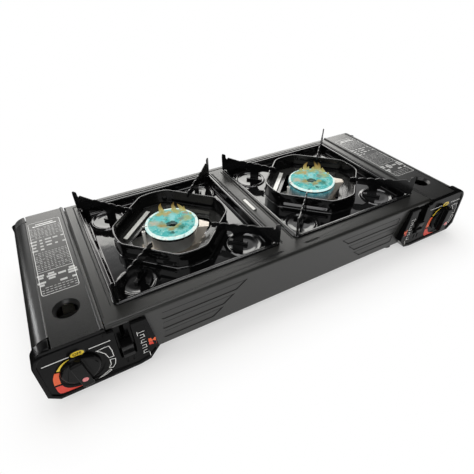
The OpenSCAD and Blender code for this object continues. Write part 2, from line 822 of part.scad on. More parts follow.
module panel_screws() {
    color("#9a9a98") for (side = [LEFT, RIGHT], x = panel_screw_x) {
        along_y(wall_front + sheet, 2) translate([side * x, panel_screw_z]) circle(head_r);
        along_y(panel_back - 8, wall_front + sheet + 1 - panel_back + 8)
            translate([side * x, panel_screw_z]) circle(screw_r);
    }
}

module hinge_pins() {
    color("#b4b6b6") {
        along_y(front_y + 4, shoulder_l - 1) translate([hinge_x, hinge_z]) circle(hinge_r);
        along_y(roll_back - 3, shoulder_l - 4) translate([hinge_x, hinge_z]) circle(hinge_r);
    }
}

module lid() {
    edge = lid_in + 0.5;
    ear = 1.2;
    ridge_w = 4;
    ridge_h = 1.2;
    flange_end = 293;
    color("#2a2a29") difference() {
        union() {
            // flat top
            difference() {
                translate([edge, front_y, under_top]) cube([roll_x - 0.8 - edge, body_d, sheet]);
                translate([finger_x, finger_y, under_top - cut])
                    cylinder(r = dimple_r, h = sheet + 2 * cut);
            }
            // folded front, back and inner edges
            for (y = [front_y, back_y - sheet])
                translate([edge, y, top_h - lid_fold])
                    cube([flange_end - edge, sheet, lid_fold - sheet / 2]);
            translate([edge, front_y, top_h - lid_fold])
                cube([sheet, body_d, lid_fold - sheet / 2]);
            // raised bead along the inner edge
            along_y(front_y, body_d) translate([edge + ridge_w / 2 + 0.5, under_top + sheet / 2])
                bevelled_ridge(ridge_w, sheet / 2 + ridge_h);
            // fine bead where the flat top meets the roll
            along_y(roll_front, roll_back - roll_front) translate([roll_x + 0.6, under_top + sheet / 2])
                bevelled_ridge(1.8, sheet / 2 + 0.5);
            // rolled side with its two ears
            along_y(roll_front, roll_back - roll_front) intersection() {
                difference() {
                    end_section(0);
                    end_section(sheet);
                }
                translate([roll_x - 2, skirt_z]) square([roll_r + 4, top_h]);
            }
            for (y = [roll_front, roll_back - ear]) along_y(y, ear) intersection() {
                end_section(0);
                translate([roll_x, skirt_z]) square([roll_r + 4, top_h]);
            }
            // pressed dimple round the finger hole
            translate([finger_x, finger_y, 0]) rotate_extrude() polygon([
                [finger_r, top_h - 4.2], [dimple_r - 2.6, top_h - 3.6], [dimple_r, top_h - 0.2],
                [dimple_r + 1, top_h - 0.2], [dimple_r + 1, under_top],
                [dimple_r - 1.6, top_h - 5], [finger_r, top_h - 5.6]
            ]);
        }
        along_y(roll_front - cut, body_d) translate([hinge_x, hinge_z]) circle(hinge_r + fit);
    }
}

// Low bead of width w and height h, with bevelled sides
module bevelled_ridge(w, h) {
    polygon([[-w / 2, 0], [w / 2, 0], [w / 2 - 0.8, h], [-w / 2 + 0.8, h]]);
}

module knob() {
    back = dial_y - gap;
    disc_y = panel_y - 2.5;
    bore_y = knob_y + 4;
    color("#121213") translate([knob_x, 0, knob_z]) difference() {
        union() {
            rotate([-90, 0, 0]) rotate_extrude($fn = 96) polygon([
                [0, disc_y], [knob_r - 3, disc_y], [knob_r - 1, disc_y + 1.5], [knob_r, back], [0, back]
            ]);
            rotate([0, grip_turn, 0]) intersection() {
                rotate([-90, 0, 0]) translate([0, 0, knob_y]) cylinder(r = knob_r - 1.2, h = disc_y - knob_y + 2);
                along_x(-grip_w / 2, grip_w) polygon([
                    [knob_y + 2, -knob_r], [knob_y, -knob_r + 4], [knob_y, knob_r - 4],
                    [knob_y + 2, knob_r], [disc_y + 1, knob_r], [disc_y + 1, -knob_r]
                ]);
            }
        }
        along_y(bore_y, 30) circle(spindle_r);
    }
}

module spindle() {
    color("#b4b6b6") translate([knob_x, 0, knob_z])
        along_y(knob_y + 4 + gap, regulator_front + 10 - knob_y - 4) circle(spindle_r - 0.01);
}

module lever() {
    guide_y0 = pocket_y + 2 + gap;
    color("#1d1d1e") {
        translate([lever_x - tab_w / 2, panel_y - 3, tab_z]) difference() {
            cube([tab_w, pocket_y - gap - panel_y + 3, tab_h]);
            // sloped thumb face
            translate([-cut, -cut, 5]) rotate([20, 0, 0]) cube([tab_w + 2 * cut, 4, tab_h + 8]);
        }
        translate([lever_x - 1.6, pocket_y - gap - 0.5, tab_z + 3])
            cube([3.2, 3.5 + gap, tab_h - 6]);
        translate([lever_x - 7, guide_y0, tab_z - 1]) cube([14, 1.6, tab_h + 2]);
    }
}

// ---- Lift-off pan supports ----

module drip_pan(side) {
    wall = 1.2;
    bulge_l = 2 * sqrt(collar_w * collar_w - collar_flat * collar_flat) / 2 - 4;
    color("#0c0c0d") translate([side * burner_x, burner_y, 0]) {
        difference() {
            union() {
                // rim that rests on the cooking top, with a bead round it
                translate([0, 0, top_h]) linear_extrude(1.4) round_rect(pan_w, pan_w, pan_corner);
                translate([0, 0, top_h]) linear_extrude(bead_h) difference() {
                    round_rect(pan_w, pan_w, pan_corner);
                    round_rect(pan_w - 5, pan_w - 5, pan_corner - 2.5);
                }
                translate([0, 0, pan_floor - wall]) linear_extrude(pan_deep + wall + 0.7)
                    round_rect(2 * pan_in, 2 * pan_in, pan_corner);
            }
            translate([0, 0, pan_floor]) linear_extrude(top_h)
                round_rect(2 * (pan_in - wall), 2 * (pan_in - wall), pan_corner - wall);
            translate([0, 0, pan_floor - wall - cut]) linear_extrude(top_h)
                collar_shape(collar_flat - 2 * wall, collar_w - 2 * wall);
        }
        translate([0, 0, pan_floor - wall]) linear_extrude(collar_z - bead_h - pan_floor + wall) difference() {
            collar_shape(collar_flat, collar_w);
            collar_shape(collar_flat - 2 * wall, collar_w - 2 * wall);
        }
        translate([0, 0, collar_z - bead_h]) linear_extrude(bead_h) difference() {
            collar_shape(collar_flat + 1.6, collar_w + 1.6);
            collar_shape(collar_flat - 2 * wall - 1, collar_w - 2 * wall - 1);
        }
        // long bulge pressed out at the foot of each flat side of the collar
        for (a = [45:90:315]) rotate(a) along_y(-bulge_l / 2, bulge_l) polygon([
            [collar_flat / 2 - 0.6, pan_floor + 10.6], [collar_flat / 2, pan_floor + 10.6],
            [collar_flat / 2 + 2.8, pan_floor + 4.4], [collar_flat / 2 + 2, pan_floor + 3.4],
            [collar_flat / 2 - 0.6, pan_floor + 3.4]
        ]);
        // ring pressed up round the middle leg of each blade
        for (a = [45:90:315]) rotate(a) translate([ring_s, 0, pan_floor])
            rotate_extrude() polygon([
                [ring_r, -wall / 2], [ring_r, 0], [ring_r - 1.5, ring_h], [ring_r - ring_w + 1.5, ring_h],
                [ring_r - ring_w, 0], [ring_r - ring_w, -wall / 2]
            ]);
    }
}

// Outline of one blade, in distance along the diagonal and height
module blade_outline() {
    crest = blade_out - spike_w - notch_w;
    slope = blade_rise / (crest - blade_in);
    top = function (s) blade_z - (crest - s) * slope;
    pitch = (crest_end - blade_in) / serrations;
    wave = 1.8;
    foot = pan_floor;
    rim = top_h + bead_h;
    polygon(concat(
        [[blade_in, inner_window_z + 2], [collar_s - 3.5, inner_window_z + 2], [collar_s - 3.5, collar_z],
         [collar_s + 2.5, collar_z], [collar_s + 2.5, inner_window_z], [leg_in - 3, inner_window_z],
         [leg_in, inner_window_z - 3], [leg_in, foot], [leg_in + leg_w, foot],
         [leg_in + leg_w, outer_window_z - 5], [leg_in + leg_w + 4, outer_window_z],
         [leg_out - 10, outer_window_z], [leg_out - 3, outer_window_z - 3], [leg_out, outer_window_z - 9],
         [leg_out, foot], [pan_inner_s - 0.6, foot], [pan_inner_s - 0.6, rim], [blade_out, rim],
         [blade_out + 0.5, blade_z], [blade_out, blade_z + spike_h - 0.5], [blade_out - 1.5, blade_z + spike_h],
         [blade_out - spike_w + 1, blade_z + spike_h - 0.8], [blade_out - spike_w, blade_z + spike_h - 2],
         [blade_out - spike_w - 0.5, blade_z - 2], [crest + 2, blade_z - 3], [crest, blade_z]],
        // scalloped top, from the outer end inwards
        [for (i = [0:serrations - 1], k = [0:4])
            let (s = crest_end - pitch * (i + [0, 0.15, 0.5, 0.85, 1][k]))
            [s, top(s) + wave * [0, 0.6, 1, 0.6, k == 4 && i < serrations - 1 ? 0 : 0.2][k] - wave]]
    ));
}

module pot_blades(side) {
    color("#0e0e0f") translate([side * burner_x, burner_y, 0])
        for (a = [45:90:315]) rotate([0, 0, a])
            {
                translate([0, blade_t / 2, 0]) rotate([90, 0, 0])
                    linear_extrude(blade_t) blade_outline();
                // clip that holds the middle leg to the pan
                translate([leg_in + leg_w / 2 - clip_l / 2, -blade_t / 2 - 1.5, pan_floor])
                    cube([clip_l, blade_t + 3, 3.5]);
            }
}

base_pan();
feet();
base_screws();
top_plate();
panel_screws();
pan_well(LEFT);  // pan_well_left
pan_well(RIGHT);  // pan_well_right
centre_stay();
on_side(LEFT) bulkhead();  // bulkhead_left
on_side(RIGHT) bulkhead();  // bulkhead_right
on_side(LEFT) cradle();  // cradle_left
on_side(RIGHT) cradle();  // cradle_right
on_side(LEFT) guide_plate();  // guide_plate_left
on_side(RIGHT) guide_plate();  // guide_plate_right
on_side(LEFT) regulator();  // regulator_left
on_side(RIGHT) regulator();  // regulator_right
gas_pipe(LEFT);  // gas_pipe_left
gas_pipe(RIGHT);  // gas_pipe_right
jet(LEFT);  // jet_left
jet(RIGHT);  // jet_right
heat_plate(LEFT);  // heat_plate_left
heat_plate(RIGHT);  // heat_plate_right
burner_bracket(LEFT);  // burner_bracket_left
burner_bracket(RIGHT);  // burner_bracket_right
burner_cup(LEFT);  // burner_cup_left
burner_cup(RIGHT);  // burner_cup_right
burner_rim(LEFT);  // burner_rim_left
burner_rim(RIGHT);  // burner_rim_right
burner_cap(LEFT);  // burner_cap_left
burner_cap(RIGHT);  // burner_cap_right
electrode(LEFT);  // electrode_left
electrode(RIGHT);  // electrode_right
electrode_tip(LEFT);  // electrode_tip_left
electrode_tip(RIGHT);  // electrode_tip_right
on_side(LEFT) control_panel();  // control_panel_left
on_side(RIGHT) control_panel();  // control_panel_right
on_side(LEFT) hinge_pins();  // hinge_pins_left
on_side(RIGHT) hinge_pins();  // hinge_pins_right
on_side(LEFT) lid();  // lid_left
on_side(RIGHT) lid();  // lid_right
on_side(LEFT) knob();  // knob_left
on_side(RIGHT) knob();  // knob_right
on_side(LEFT) spindle();  // spindle_left
on_side(RIGHT) spindle();  // spindle_right
on_side(LEFT) lever();  // lever_left
on_side(RIGHT) lever();  // lever_right
on_side(LEFT) cartridge_clamp();  // cartridge_clamp_left
on_side(RIGHT) cartridge_clamp();  // cartridge_clamp_right
drip_pan(LEFT);  // drip_pan_left
drip_pan(RIGHT);  // drip_pan_right
pot_blades(LEFT);  // pot_blades_left
pot_blades(RIGHT);  // pot_blades_right
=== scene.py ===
# %% [markdown]
# # A double-burner camping stove
#
# The solids of this stove come from a CAD model: pressed steel shell, lids,
# knobs, levers, pans and burners, each in its true place and in metres. This
# lesson dresses them. Sheet steel gets its soft pressed edges, the drip pans
# get their rounded forms, and every surface gets a finish made of nodes.

import json
import math

import bmesh
import bpy
from mathutils import Matrix, Vector
from mathutils.bvhtree import BVHTree


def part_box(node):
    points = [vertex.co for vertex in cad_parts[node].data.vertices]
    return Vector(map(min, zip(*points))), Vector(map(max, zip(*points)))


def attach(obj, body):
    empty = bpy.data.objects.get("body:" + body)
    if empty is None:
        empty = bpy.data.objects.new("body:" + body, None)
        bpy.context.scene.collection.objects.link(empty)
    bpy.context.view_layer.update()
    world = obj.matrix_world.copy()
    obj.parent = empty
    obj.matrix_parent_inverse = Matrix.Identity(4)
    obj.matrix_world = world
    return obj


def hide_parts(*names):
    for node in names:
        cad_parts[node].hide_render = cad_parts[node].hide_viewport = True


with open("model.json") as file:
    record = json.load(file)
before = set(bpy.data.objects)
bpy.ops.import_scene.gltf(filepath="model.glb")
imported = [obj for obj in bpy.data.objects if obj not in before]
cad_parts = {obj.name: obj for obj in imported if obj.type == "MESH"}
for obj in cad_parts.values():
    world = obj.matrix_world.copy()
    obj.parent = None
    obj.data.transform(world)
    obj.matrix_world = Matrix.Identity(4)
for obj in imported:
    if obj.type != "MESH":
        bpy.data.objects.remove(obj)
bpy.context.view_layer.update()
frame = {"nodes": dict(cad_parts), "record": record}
nodes = frame["nodes"]

# %% [markdown]
# ## Camera
#
# The stove is seen from the front left and from well above, close enough that
# the near corner looks large. A camera object looks along its own -Z, so its
# matrix is built from three axes: its right, its up, and the way back from the
# stove to the eye. Those follow from a heading, a height above the table and a
# small roll.

# %% Place the camera
scene = bpy.context.scene
eye = Vector((-0.24566, -0.41005, 0.40081))
heading, height, roll = (math.radians(angle) for angle in (-28.378938, 38.148049, -0.706011))
backward = Vector((
    math.sin(heading) * math.cos(height), -math.cos(heading) * math.cos(height), math.sin(height),
))
level = Vector((0, 0, 1)).cross(backward).normalized()
right = level * math.cos(roll) + backward.cross(level) * math.sin(roll)
camera_axes = Matrix((right, backward.cross(right), backward)).transposed()

camera = bpy.data.objects.new("camera", bpy.data.cameras.new("camera"))
scene.collection.objects.link(camera)
camera.data.sensor_width = 36
camera.data.lens = 28.98
camera.data.clip_start = 0.01
camera.matrix_world = Matrix.Translation(eye) @ camera_axes.to_4x4()
scene.camera = camera
scene.view_settings.view_transform = "Standard"
print("camera at", [round(c, 3) for c in eye], "with a", camera.data.lens, "mm lens")

# %% [markdown]
# ## Nodes as expressions
#
# Materials and Geometry Nodes are both trees of nodes. Two small helpers keep
# them readable. `Tree.node` makes any node from its type, its settings and what
# goes into its sockets. `Wire` is one output, and its operators add Math nodes,
# so a mask can be written as `1 - wear * 0.5`.

# %% Write node trees as Python
class Wire:
    """One output socket of a tree."""

    def __init__(self, tree, socket):
        self.tree, self.socket = tree, socket

    def math(self, operation, a, b=0.0, clamp=False):
        return self.tree.node("ShaderNodeMath", {"operation": operation, "use_clamp": clamp}, {0: a, 1: b})

    def __add__(self, other):
        return self.math("ADD", self, other)

    def __sub__(self, other):
        return self.math("SUBTRACT", self, other)

    def __rsub__(self, other):
        return self.math("SUBTRACT", other, self)

    def __mul__(self, other):
        return self.math("MULTIPLY", self, other)

    def __truediv__(self, other):
        return self.math("DIVIDE", self, other)

    def __gt__(self, other):
        return self.math("GREATER_THAN", self, other)

    def __lt__(self, other):
        return self.math("LESS_THAN", self, other)

    def abs(self):
        return self.math("ABSOLUTE", self)

    def root(self):
        return self.math("SQRT", self)

    def sine(self):
        return self.math("SINE", self)

    def at_least(self, floor):
        return self.math("MAXIMUM", self, floor)

    def clamp(self):
        return self.math("ADD", self, 0.0, clamp=True)

    __radd__ = __add__


class Tree:
    """A node tree with one way of adding nodes."""

    def __init__(self, tree):
        self.tree = tree

    def node(self, kind, settings=None, sockets=None, out=0):
        made = self.tree.nodes.new(kind)
        for key, value in (settings or {}).items():
            setattr(made, key, value)
        for key, value in (sockets or {}).items():
            if isinstance(value, Wire):
                self.tree.links.new(value.socket, made.inputs[key])
            else:
                made.inputs[key].default_value = value
        return Wire(self, made.outputs[out]) if len(made.outputs) else made

    def random(self, low, high, seed):
        sockets = {2: low, 3: high, "Seed": seed}
        return self.node("FunctionNodeRandomValue", {"data_type": "FLOAT"}, sockets, out=1)

    def smooth_range(self, value, start, end, low, high):
        sockets = {0: value, 1: start, 2: end, 3: low, 4: high}
        return self.node("ShaderNodeMapRange", {"interpolation_type": "SMOOTHSTEP"}, sockets)

    def axes(self, vector):
        split = self.tree.nodes.new("ShaderNodeSeparateXYZ")
        self.tree.links.new(vector.socket, split.inputs[0])
        return [Wire(self, socket) for socket in split.outputs]


# %% [markdown]
# ## Finishes
#
# A finish is one Principled shader with its colour, roughness and bump worked
# out in object space, in metres. Every piece lies at the origin, so the grain
# has the same real scale on all of them and never slides when a lid opens.

# %% Make a finish
finishes = {}


class Finish(Tree):
    """A material whose patterns read object coordinates."""

    def __init__(self, name):
        self.material = bpy.data.materials.new(name)
        self.material.use_nodes = True
        super().__init__(self.material.node_tree)
        self.tree.nodes.clear()
        self.place = self.node("ShaderNodeTexCoord", out=3)
        finishes[name] = self.material

    def noise(self, scale, detail=3.0, roughness=0.5, place=None):
        return self.node("ShaderNodeTexNoise", None, {
            "Vector": place or self.place, "Scale": scale, "Detail": detail, "Roughness": roughness,
        })

    def stretched(self, x, y, z):
        return self.node("ShaderNodeMapping", None, {"Vector": self.place, "Scale": (x, y, z)})

    def cells(self, scale):
        return self.node("ShaderNodeTexVoronoi", None, {"Vector": self.place, "Scale": scale})

    def mix(self, amount, dark, light):
        return self.node("ShaderNodeMix", {"data_type": "RGBA"}, {0: amount, 6: dark, 7: light}, out=2)

    def bump(self, height, depth, strength=1.0, under=None):
        sockets = {"Height": height, "Distance": depth, "Strength": strength}
        if under:
            sockets["Normal"] = under
        return self.node("ShaderNodeBump", None, sockets)

    def shade(self, colour, roughness, **more):
        sockets = {"Base Color": colour, "Roughness": roughness}
        sockets.update({key.replace("_", " "): value for key, value in more.items()})
        shader = self.node("ShaderNodeBsdfPrincipled", None, sockets)
        self.node("ShaderNodeOutputMaterial", None, {"Surface": shader})
        return self.material


def rgb(r, g, b):
    return (r, g, b, 1.0)


def tinted(colour, tint):
    """A colour multiplied channel by channel, ready for a socket."""
    return rgb(*(part * factor for part, factor in zip(colour, tint)))


def times(colour, factor):
    """A colour made darker or lighter, ready for a socket."""
    return tinted(colour, (factor, factor, factor))


# %% [markdown]
# ### Satin stove paint
#
# The cooking top and the lids are sprayed with a heat-proof charcoal paint. It
# has a fine orange-peel skin: soft, shallow bumps a millimetre or so across,
# with a grain finer than that, so a highlight spreads into a broad band.

# %% Satin paint for the top, the lids and the shell
def satin_paint(name, colour, roughness, gloss=0.5, grain=1.0):
    paint = Finish(name)
    drift = paint.noise(9.0, 4.0)
    grit = paint.noise(2600.0, 2.0)
    peel = paint.noise(620.0, 2.0)
    tint = paint.mix(drift, times(colour, 0.86), times(colour, 1.14))
    speck = paint.mix((grit - 0.62).clamp() * 1.6, tint, times(colour, 2.2))
    skin = paint.bump(peel, 0.00006 * grain, 0.55)
    skin = paint.bump(grit, 0.00002 * grain, 0.5, skin)
    rough = roughness + (drift - 0.5) * 0.10 + (grit - 0.5) * 0.12
    return paint.shade(speck, rough, Normal=skin, Specular_IOR_Level=gloss)


satin_paint("cooking top paint", (0.017, 0.017, 0.0155), 0.33)
satin_paint("lid paint", (0.013, 0.013, 0.0125), 0.29, 0.44)
satin_paint("well paint", (0.030, 0.030, 0.028), 0.20, 0.9)
satin_paint("shell paint", (0.016, 0.016, 0.0155), 0.44, 0.4)
print("satin paints:", ", ".join(finishes))

# %% [markdown]
# ### Vitreous enamel
#
# Pans and pot blades are dipped in glass enamel and fired. The coat is thick
# and almost black, and it flows before it sets, so its gloss waves slowly over
# a few centimetres and holds a few tiny pits.

# %% Gloss enamel for the pans and blades
def enamel(name, colour, roughness, gloss=0.5):
    glaze = Finish(name)
    flow = glaze.noise(38.0, 2.0)
    pits = glaze.cells(420.0)
    dust = glaze.noise(170.0, 4.0, 0.6)
    pitted = (0.16 - pits).clamp() * 3.0
    wave = glaze.bump(flow, 0.0012, 0.10)
    wave = glaze.bump(1 - pitted, 0.00003, 0.4, wave)
    tone = glaze.mix(dust, rgb(*colour), times(colour, 1.8))
    rough = roughness + (dust - 0.5).clamp() * 0.16
    return glaze.shade(tone, rough, Normal=wave, Specular_IOR_Level=gloss)


enamel("gloss enamel", (0.0020, 0.0020, 0.0021), 0.055, 0.75)
enamel("blade enamel", (0.0022, 0.0022, 0.0024), 0.20, 0.35)

# %% [markdown]
# ### Moulded plastics and rubber
#
# The control panels are glossy black mouldings. Knobs and levers come from a
# spark-eroded mould, which leaves an even fine grain. Rubber feet are dull.

# %% Plastics and rubber
def moulding(name, colour, roughness, grain_scale, grain_depth, gloss=0.5):
    plastic = Finish(name)
    cloud = plastic.noise(22.0, 3.0)
    grain = plastic.noise(grain_scale, 2.0)
    tone = plastic.mix(cloud, times(colour, 0.85), times(colour, 1.2))
    skin = plastic.bump(grain, grain_depth, 0.6)
    return plastic.shade(tone, roughness + (cloud - 0.5) * 0.12, Normal=skin, Specular_IOR_Level=gloss)


moulding("panel plastic", (0.0035, 0.0035, 0.0036), 0.16, 900.0, 0.00001, 0.09)
moulding("knob plastic", (0.0035, 0.0035, 0.0036), 0.22, 1500.0, 0.00003, 0.12)
moulding("lever plastic", (0.0045, 0.0045, 0.0046), 0.34, 1500.0, 0.00004, 0.2)
moulding("foot rubber", (0.018, 0.018, 0.018), 0.82, 1300.0, 0.00006)

# %% [markdown]
# ### Bare metals
#
# Cast burner cups keep the grain of the sand they were poured in. Brackets and
# clamps are zinc-plated sheet, drawn lightly along their length. The burner's
# rim is bright steel, straw-tinted where the flame has warmed it.

# %% Bare metals
def cast_metal(name, colour, roughness):
    cast = Finish(name)
    sand = cast.noise(700.0, 3.0, 0.65)
    cloud = cast.noise(60.0, 4.0)
    tone = cast.mix(cloud, times(colour, 0.72), times(colour, 1.15))
    rough = roughness + (sand - 0.5) * 0.3
    return cast.shade(tone, rough, Metallic=1.0, Normal=cast.bump(sand, 0.00018, 0.7))


def drawn_metal(name, colour, roughness, tint=(1.0, 0.97, 0.9)):
    drawn = Finish(name)
    lines = drawn.noise(24.0, 3.0, 0.6, drawn.stretched(1.0, 34.0, 34.0))
    cloud = drawn.noise(45.0, 4.0)
    tone = drawn.mix(cloud, times(colour, 0.9), tinted(colour, tint))
    rough = roughness + (lines - 0.5) * 0.18
    return drawn.shade(tone, rough, Metallic=1.0, Normal=drawn.bump(lines, 0.00004, 0.4))


cast_metal("cast alloy", (0.78, 0.78, 0.77), 0.52)
cast_metal("regulator alloy", (0.30, 0.30, 0.31), 0.50)
cast_metal("burner cap alloy", (0.22, 0.25, 0.25), 0.45)
drawn_metal("zinc plate", (0.76, 0.73, 0.66), 0.30)
drawn_metal("dull zinc", (0.20, 0.20, 0.19), 0.48)
drawn_metal("bright steel", (0.72, 0.72, 0.71), 0.24)
drawn_metal("rim steel", (0.93, 0.94, 0.95), 0.20, (1.0, 0.98, 0.93))
drawn_metal("brass", (0.72, 0.52, 0.26), 0.28)


def sheet_metal(name, colour, roughness, metal):
    """Coated sheet: half metal, half chalky coat, with the spangle of dipped zinc."""
    sheet = Finish(name)
    spangle = sheet.cells(160.0)
    cloud = sheet.noise(34.0, 4.0)
    tone = sheet.mix((spangle * 1.4).clamp(), times(colour, 0.84), rgb(*colour))
    tone = sheet.mix(cloud, tone, tinted(colour, (0.95, 0.93, 0.88)))
    rough = roughness + (cloud - 0.5) * 0.2
    return sheet.shade(tone, rough, Metallic=metal, Normal=sheet.bump(spangle, 0.00002, 0.4))


sheet_metal("aluminised sheet", (0.86, 0.86, 0.84), 0.36, 0.30)
sheet_metal("warm sheet", (0.66, 0.60, 0.53), 0.42, 0.30)
# A pale coat for the back-left rib caps, which paints the rib's highlight
sheet_metal("painted rib highlight", (0.90, 0.90, 0.87), 0.30, 0.15)
# A near-white coat used only to paint the glint on the slot between the burners
sheet_metal("painted glint white", (0.93, 0.93, 0.90), 0.30, 0.05)

glaze = Finish("ceramic")
glaze.shade(glaze.mix(glaze.noise(90.0), rgb(0.80, 0.78, 0.72), rgb(0.9, 0.89, 0.85)), 0.22,
            Normal=glaze.bump(glaze.noise(260.0), 0.00004, 0.4))
print(len(finishes), "finishes so far")

# %% [markdown]
# ## A finish for every solid
#
# Each solid is given its finish by the kind of piece it is. The name of a
# left-hand or right-hand piece ends in its side, which is cut off first.

# %% Paint the solids
FINISH_OF = {
    "base_pan": "shell paint", "feet": "foot rubber", "base_screws": "bright steel",
    "top_plate": "cooking top paint", "pan_well": "well paint", "centre_stay": "bright steel",
    "panel_screws": "bright steel", "bulkhead": "shell paint",
    "cradle": "dull zinc", "guide_plate": "dull zinc", "regulator": "regulator alloy",
    "gas_pipe": "brass", "jet": "brass", "heat_plate": "aluminised sheet",
    "burner_bracket": "warm sheet", "burner_cup": "cast alloy", "burner_rim": "rim steel",
    "burner_cap": "burner cap alloy", "electrode": "ceramic", "electrode_tip": "bright steel",
    "control_panel": "panel plastic", "hinge_pins": "bright steel", "lid": "lid paint",
    "knob": "knob plastic", "spindle": "dull zinc", "lever": "lever plastic",
    "cartridge_clamp": "zinc plate", "drip_pan": "gloss enamel", "pot_blades": "blade enamel",
}


def kind_of(name):
    return name.removesuffix("_left").removesuffix("_right")


def paint(piece, finish):
    piece.data.materials.clear()
    piece.data.materials.append(finishes[finish])


for name, piece in nodes.items():
    paint(piece, FINISH_OF[kind_of(name)])

# %% [markdown]
# ## Pressed and moulded edges
#
# Steel that has been folded in a press never has a knife edge, and neither has
# a plastic moulding. Edges this small are what catch the light on a black
# object. Each solid keeps its own shape here: a copy of its mesh is merged,
# and a Bevel modifier rounds every edge that is sharper than a set angle.
# Large faces keep their flat shading through Weighted Normal.

# %% Soften a solid's edges
record = frame["record"]
body_of = {name: body for body, members in record["behaviour"]["bodies"].items() for name in members}


def merged_copy(name):
    """The solid's mesh with its loose triangles joined, and no shading of its own."""
    source = nodes[name].data
    work = bmesh.new()
    work.from_mesh(source)
    bmesh.ops.remove_doubles(work, verts=work.verts, dist=2e-6)
    mesh = bpy.data.meshes.new(name + "_soft")
    mesh.from_pydata([v.co[:] for v in work.verts], [], [[v.index for v in f.verts] for f in work.faces])
    work.free()
    return mesh


def baked(piece, name=None):
    """The piece with its modifiers turned into plain mesh, and no modifier left."""
    graph = bpy.context.evaluated_depsgraph_get()
    mesh = bpy.data.meshes.new_from_object(
        piece.evaluated_get(graph), preserve_all_data_layers=True, depsgraph=graph)
    mesh.name = name or piece.name
    piece.modifiers.clear()
    piece.data = mesh
    return piece


def put(name, mesh, finish=None):
    """A new object at the origin, with a finish."""
    piece = bpy.data.objects.new(name, mesh)
    scene.collection.objects.link(piece)
    if finish:
        paint(piece, finish)
    return piece


def stand_for(piece, name):
    """Lets a piece ride in place of a solid: it rides on the solid's body, and the solid is hidden."""
    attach(piece, body_of[name])
    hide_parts(name)
    return piece


def soften(name, width, segments=2, angle=32):
    piece = put(name + "_soft", merged_copy(name), FINISH_OF[kind_of(name)])
    for polygon in piece.data.polygons:
        polygon.use_smooth = True
    bevel = piece.modifiers.new("edges", "BEVEL")
    bevel.width = width
    bevel.segments = segments
    bevel.limit_method = "ANGLE"
    bevel.angle_limit = math.radians(angle)
    bevel.miter_outer = "MITER_ARC"
    bevel.use_clamp_overlap = False
    even = piece.modifiers.new("even", "WEIGHTED_NORMAL")
    even.keep_sharp = True
    even.weight = 60
    piece = baked(piece)
    # a bevel with arc corners can reach a little past the solid, so every point is kept in its box
    low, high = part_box(name)
    for vertex in piece.data.vertices:
        vertex.co = [min(max(c, a), b) for c, a, b in zip(vertex.co, low, high)]
    return stand_for(piece, name)


EDGE = {
    "top_plate": 0.00025, "pan_well": 0.00035, "lid": 0.0004, "control_panel": 0.0007, "knob": 0.0007,
    "lever": 0.0008, "base_pan": 0.0004, "burner_bracket": 0.0003, "pot_blades": 0.0005,
    "regulator": 0.0005, "burner_cup": 0.0004, "heat_plate": 0.0003, "cartridge_clamp": 0.0004,
}
softened = {}
for name in sorted(nodes):
    if kind_of(name) in EDGE:
        softened[name] = soften(name, EDGE[kind_of(name)])
print({name: len(piece.data.polygons) for name, piece in softened.items()})

# %% [markdown]
# ## Drip pans
#
# A drip pan is drawn from one sheet: a rolled rim, a square tray, and a raised
# collar whose foot and lip are rounded by the die. Such a part is a ring, so
# it is lofted: every ring of the mesh follows a square with round corners near
# the rim, a circle with four flats at the collar, and a blend of the two
# between them. The pressed rings and the long bulges are moved out of that
# surface afterwards, so they share its smooth shading.

# %% Two outlines in polar form
def square_reach(angle, half, corner):
    """Distance from the middle to a square with round corners, along an angle."""
    a = abs((angle + math.pi / 4) % (math.pi / 2) - math.pi / 4)
    side = half / math.cos(a)
    if side * math.sin(a) <= half - corner:
        return side
    c = half - corner
    along = c * (math.cos(a) + math.sin(a))
    across = c * (math.cos(a) - math.sin(a))
    return along + math.sqrt(max(corner * corner - across * across, 0.0))


def collar_reach(angle, flat, round_, soft=0.0025):
    """Distance to a circle cut by four diagonal flats, with the corners between them softened."""
    turn = abs(angle % (math.pi / 2) - math.pi / 4)
    side = flat / max(math.cos(turn), 0.2)
    h = min(max(0.5 + 0.5 * (round_ - side) / soft, 0.0), 1.0)
    return round_ + (side - round_) * h - soft * h * (1 - h)


def loft(name, rings, angles, finish):
    """A closed skin through rings of points, joined from the last ring back to the first."""
    mesh = bpy.data.meshes.new(name)
    work = bmesh.new()
    rows = [[work.verts.new(point) for point in ring] for ring in rings]
    for i in range(len(rows)):
        lower, upper = rows[i], rows[(i + 1) % len(rows)]
        for j in range(len(angles)):
            k = (j + 1) % len(angles)
            work.faces.new((lower[j], lower[k], upper[k], upper[j])).smooth = True
    bmesh.ops.recalc_face_normals(work, faces=work.faces)
    if work.calc_volume(signed=True) < 0:
        bmesh.ops.reverse_faces(work, faces=work.faces)
    work.to_mesh(mesh)
    work.free()
    return put(name, mesh, finish)


# %% Loft the drip pans
MM = 0.001
DIAGONALS = [(sx, sy) for sx in (-1, 1) for sy in (-1, 1)]
pan_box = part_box("drip_pan_left")
pan_half = (pan_box[1][0] - pan_box[0][0]) / 2
pan_low, pan_lip = pan_box[0][2], pan_box[1][2]
sheet, rim_roll, tray_foot = 1.2 * MM, 1.25 * MM, 4 * MM
tray_corner, sole_corner = 3.2 * MM, 4.4 * MM
well_half = pan_half - 6 * MM
tray_z = pan_low + sheet
rim_z = tray_z + 10.5 * MM
collar_flat, collar_round = 68.5 * MM, 78.5 * MM
ring_away, ring_out, ring_in = 104 * MM, 26 * MM, 20 * MM
every_degree = [i * 1.0 for i in range(360)]
finer_at_corners = [45 + 90 * quarter + d / 4 for quarter in range(4) for d in range(-14, 15)]
pan_angles = sorted({round(angle, 3) for angle in every_degree + finer_at_corners})

# Heights of the collar's rings over the tray, close together where its bulges start and end
WALL_HEIGHTS = (3.4, 3.9, 4.4, 5.0, 5.7, 6.0, 6.3, 7.2, 8.2, 9.0, 9.3, 9.7, 12.0, 16.0, 20.4)
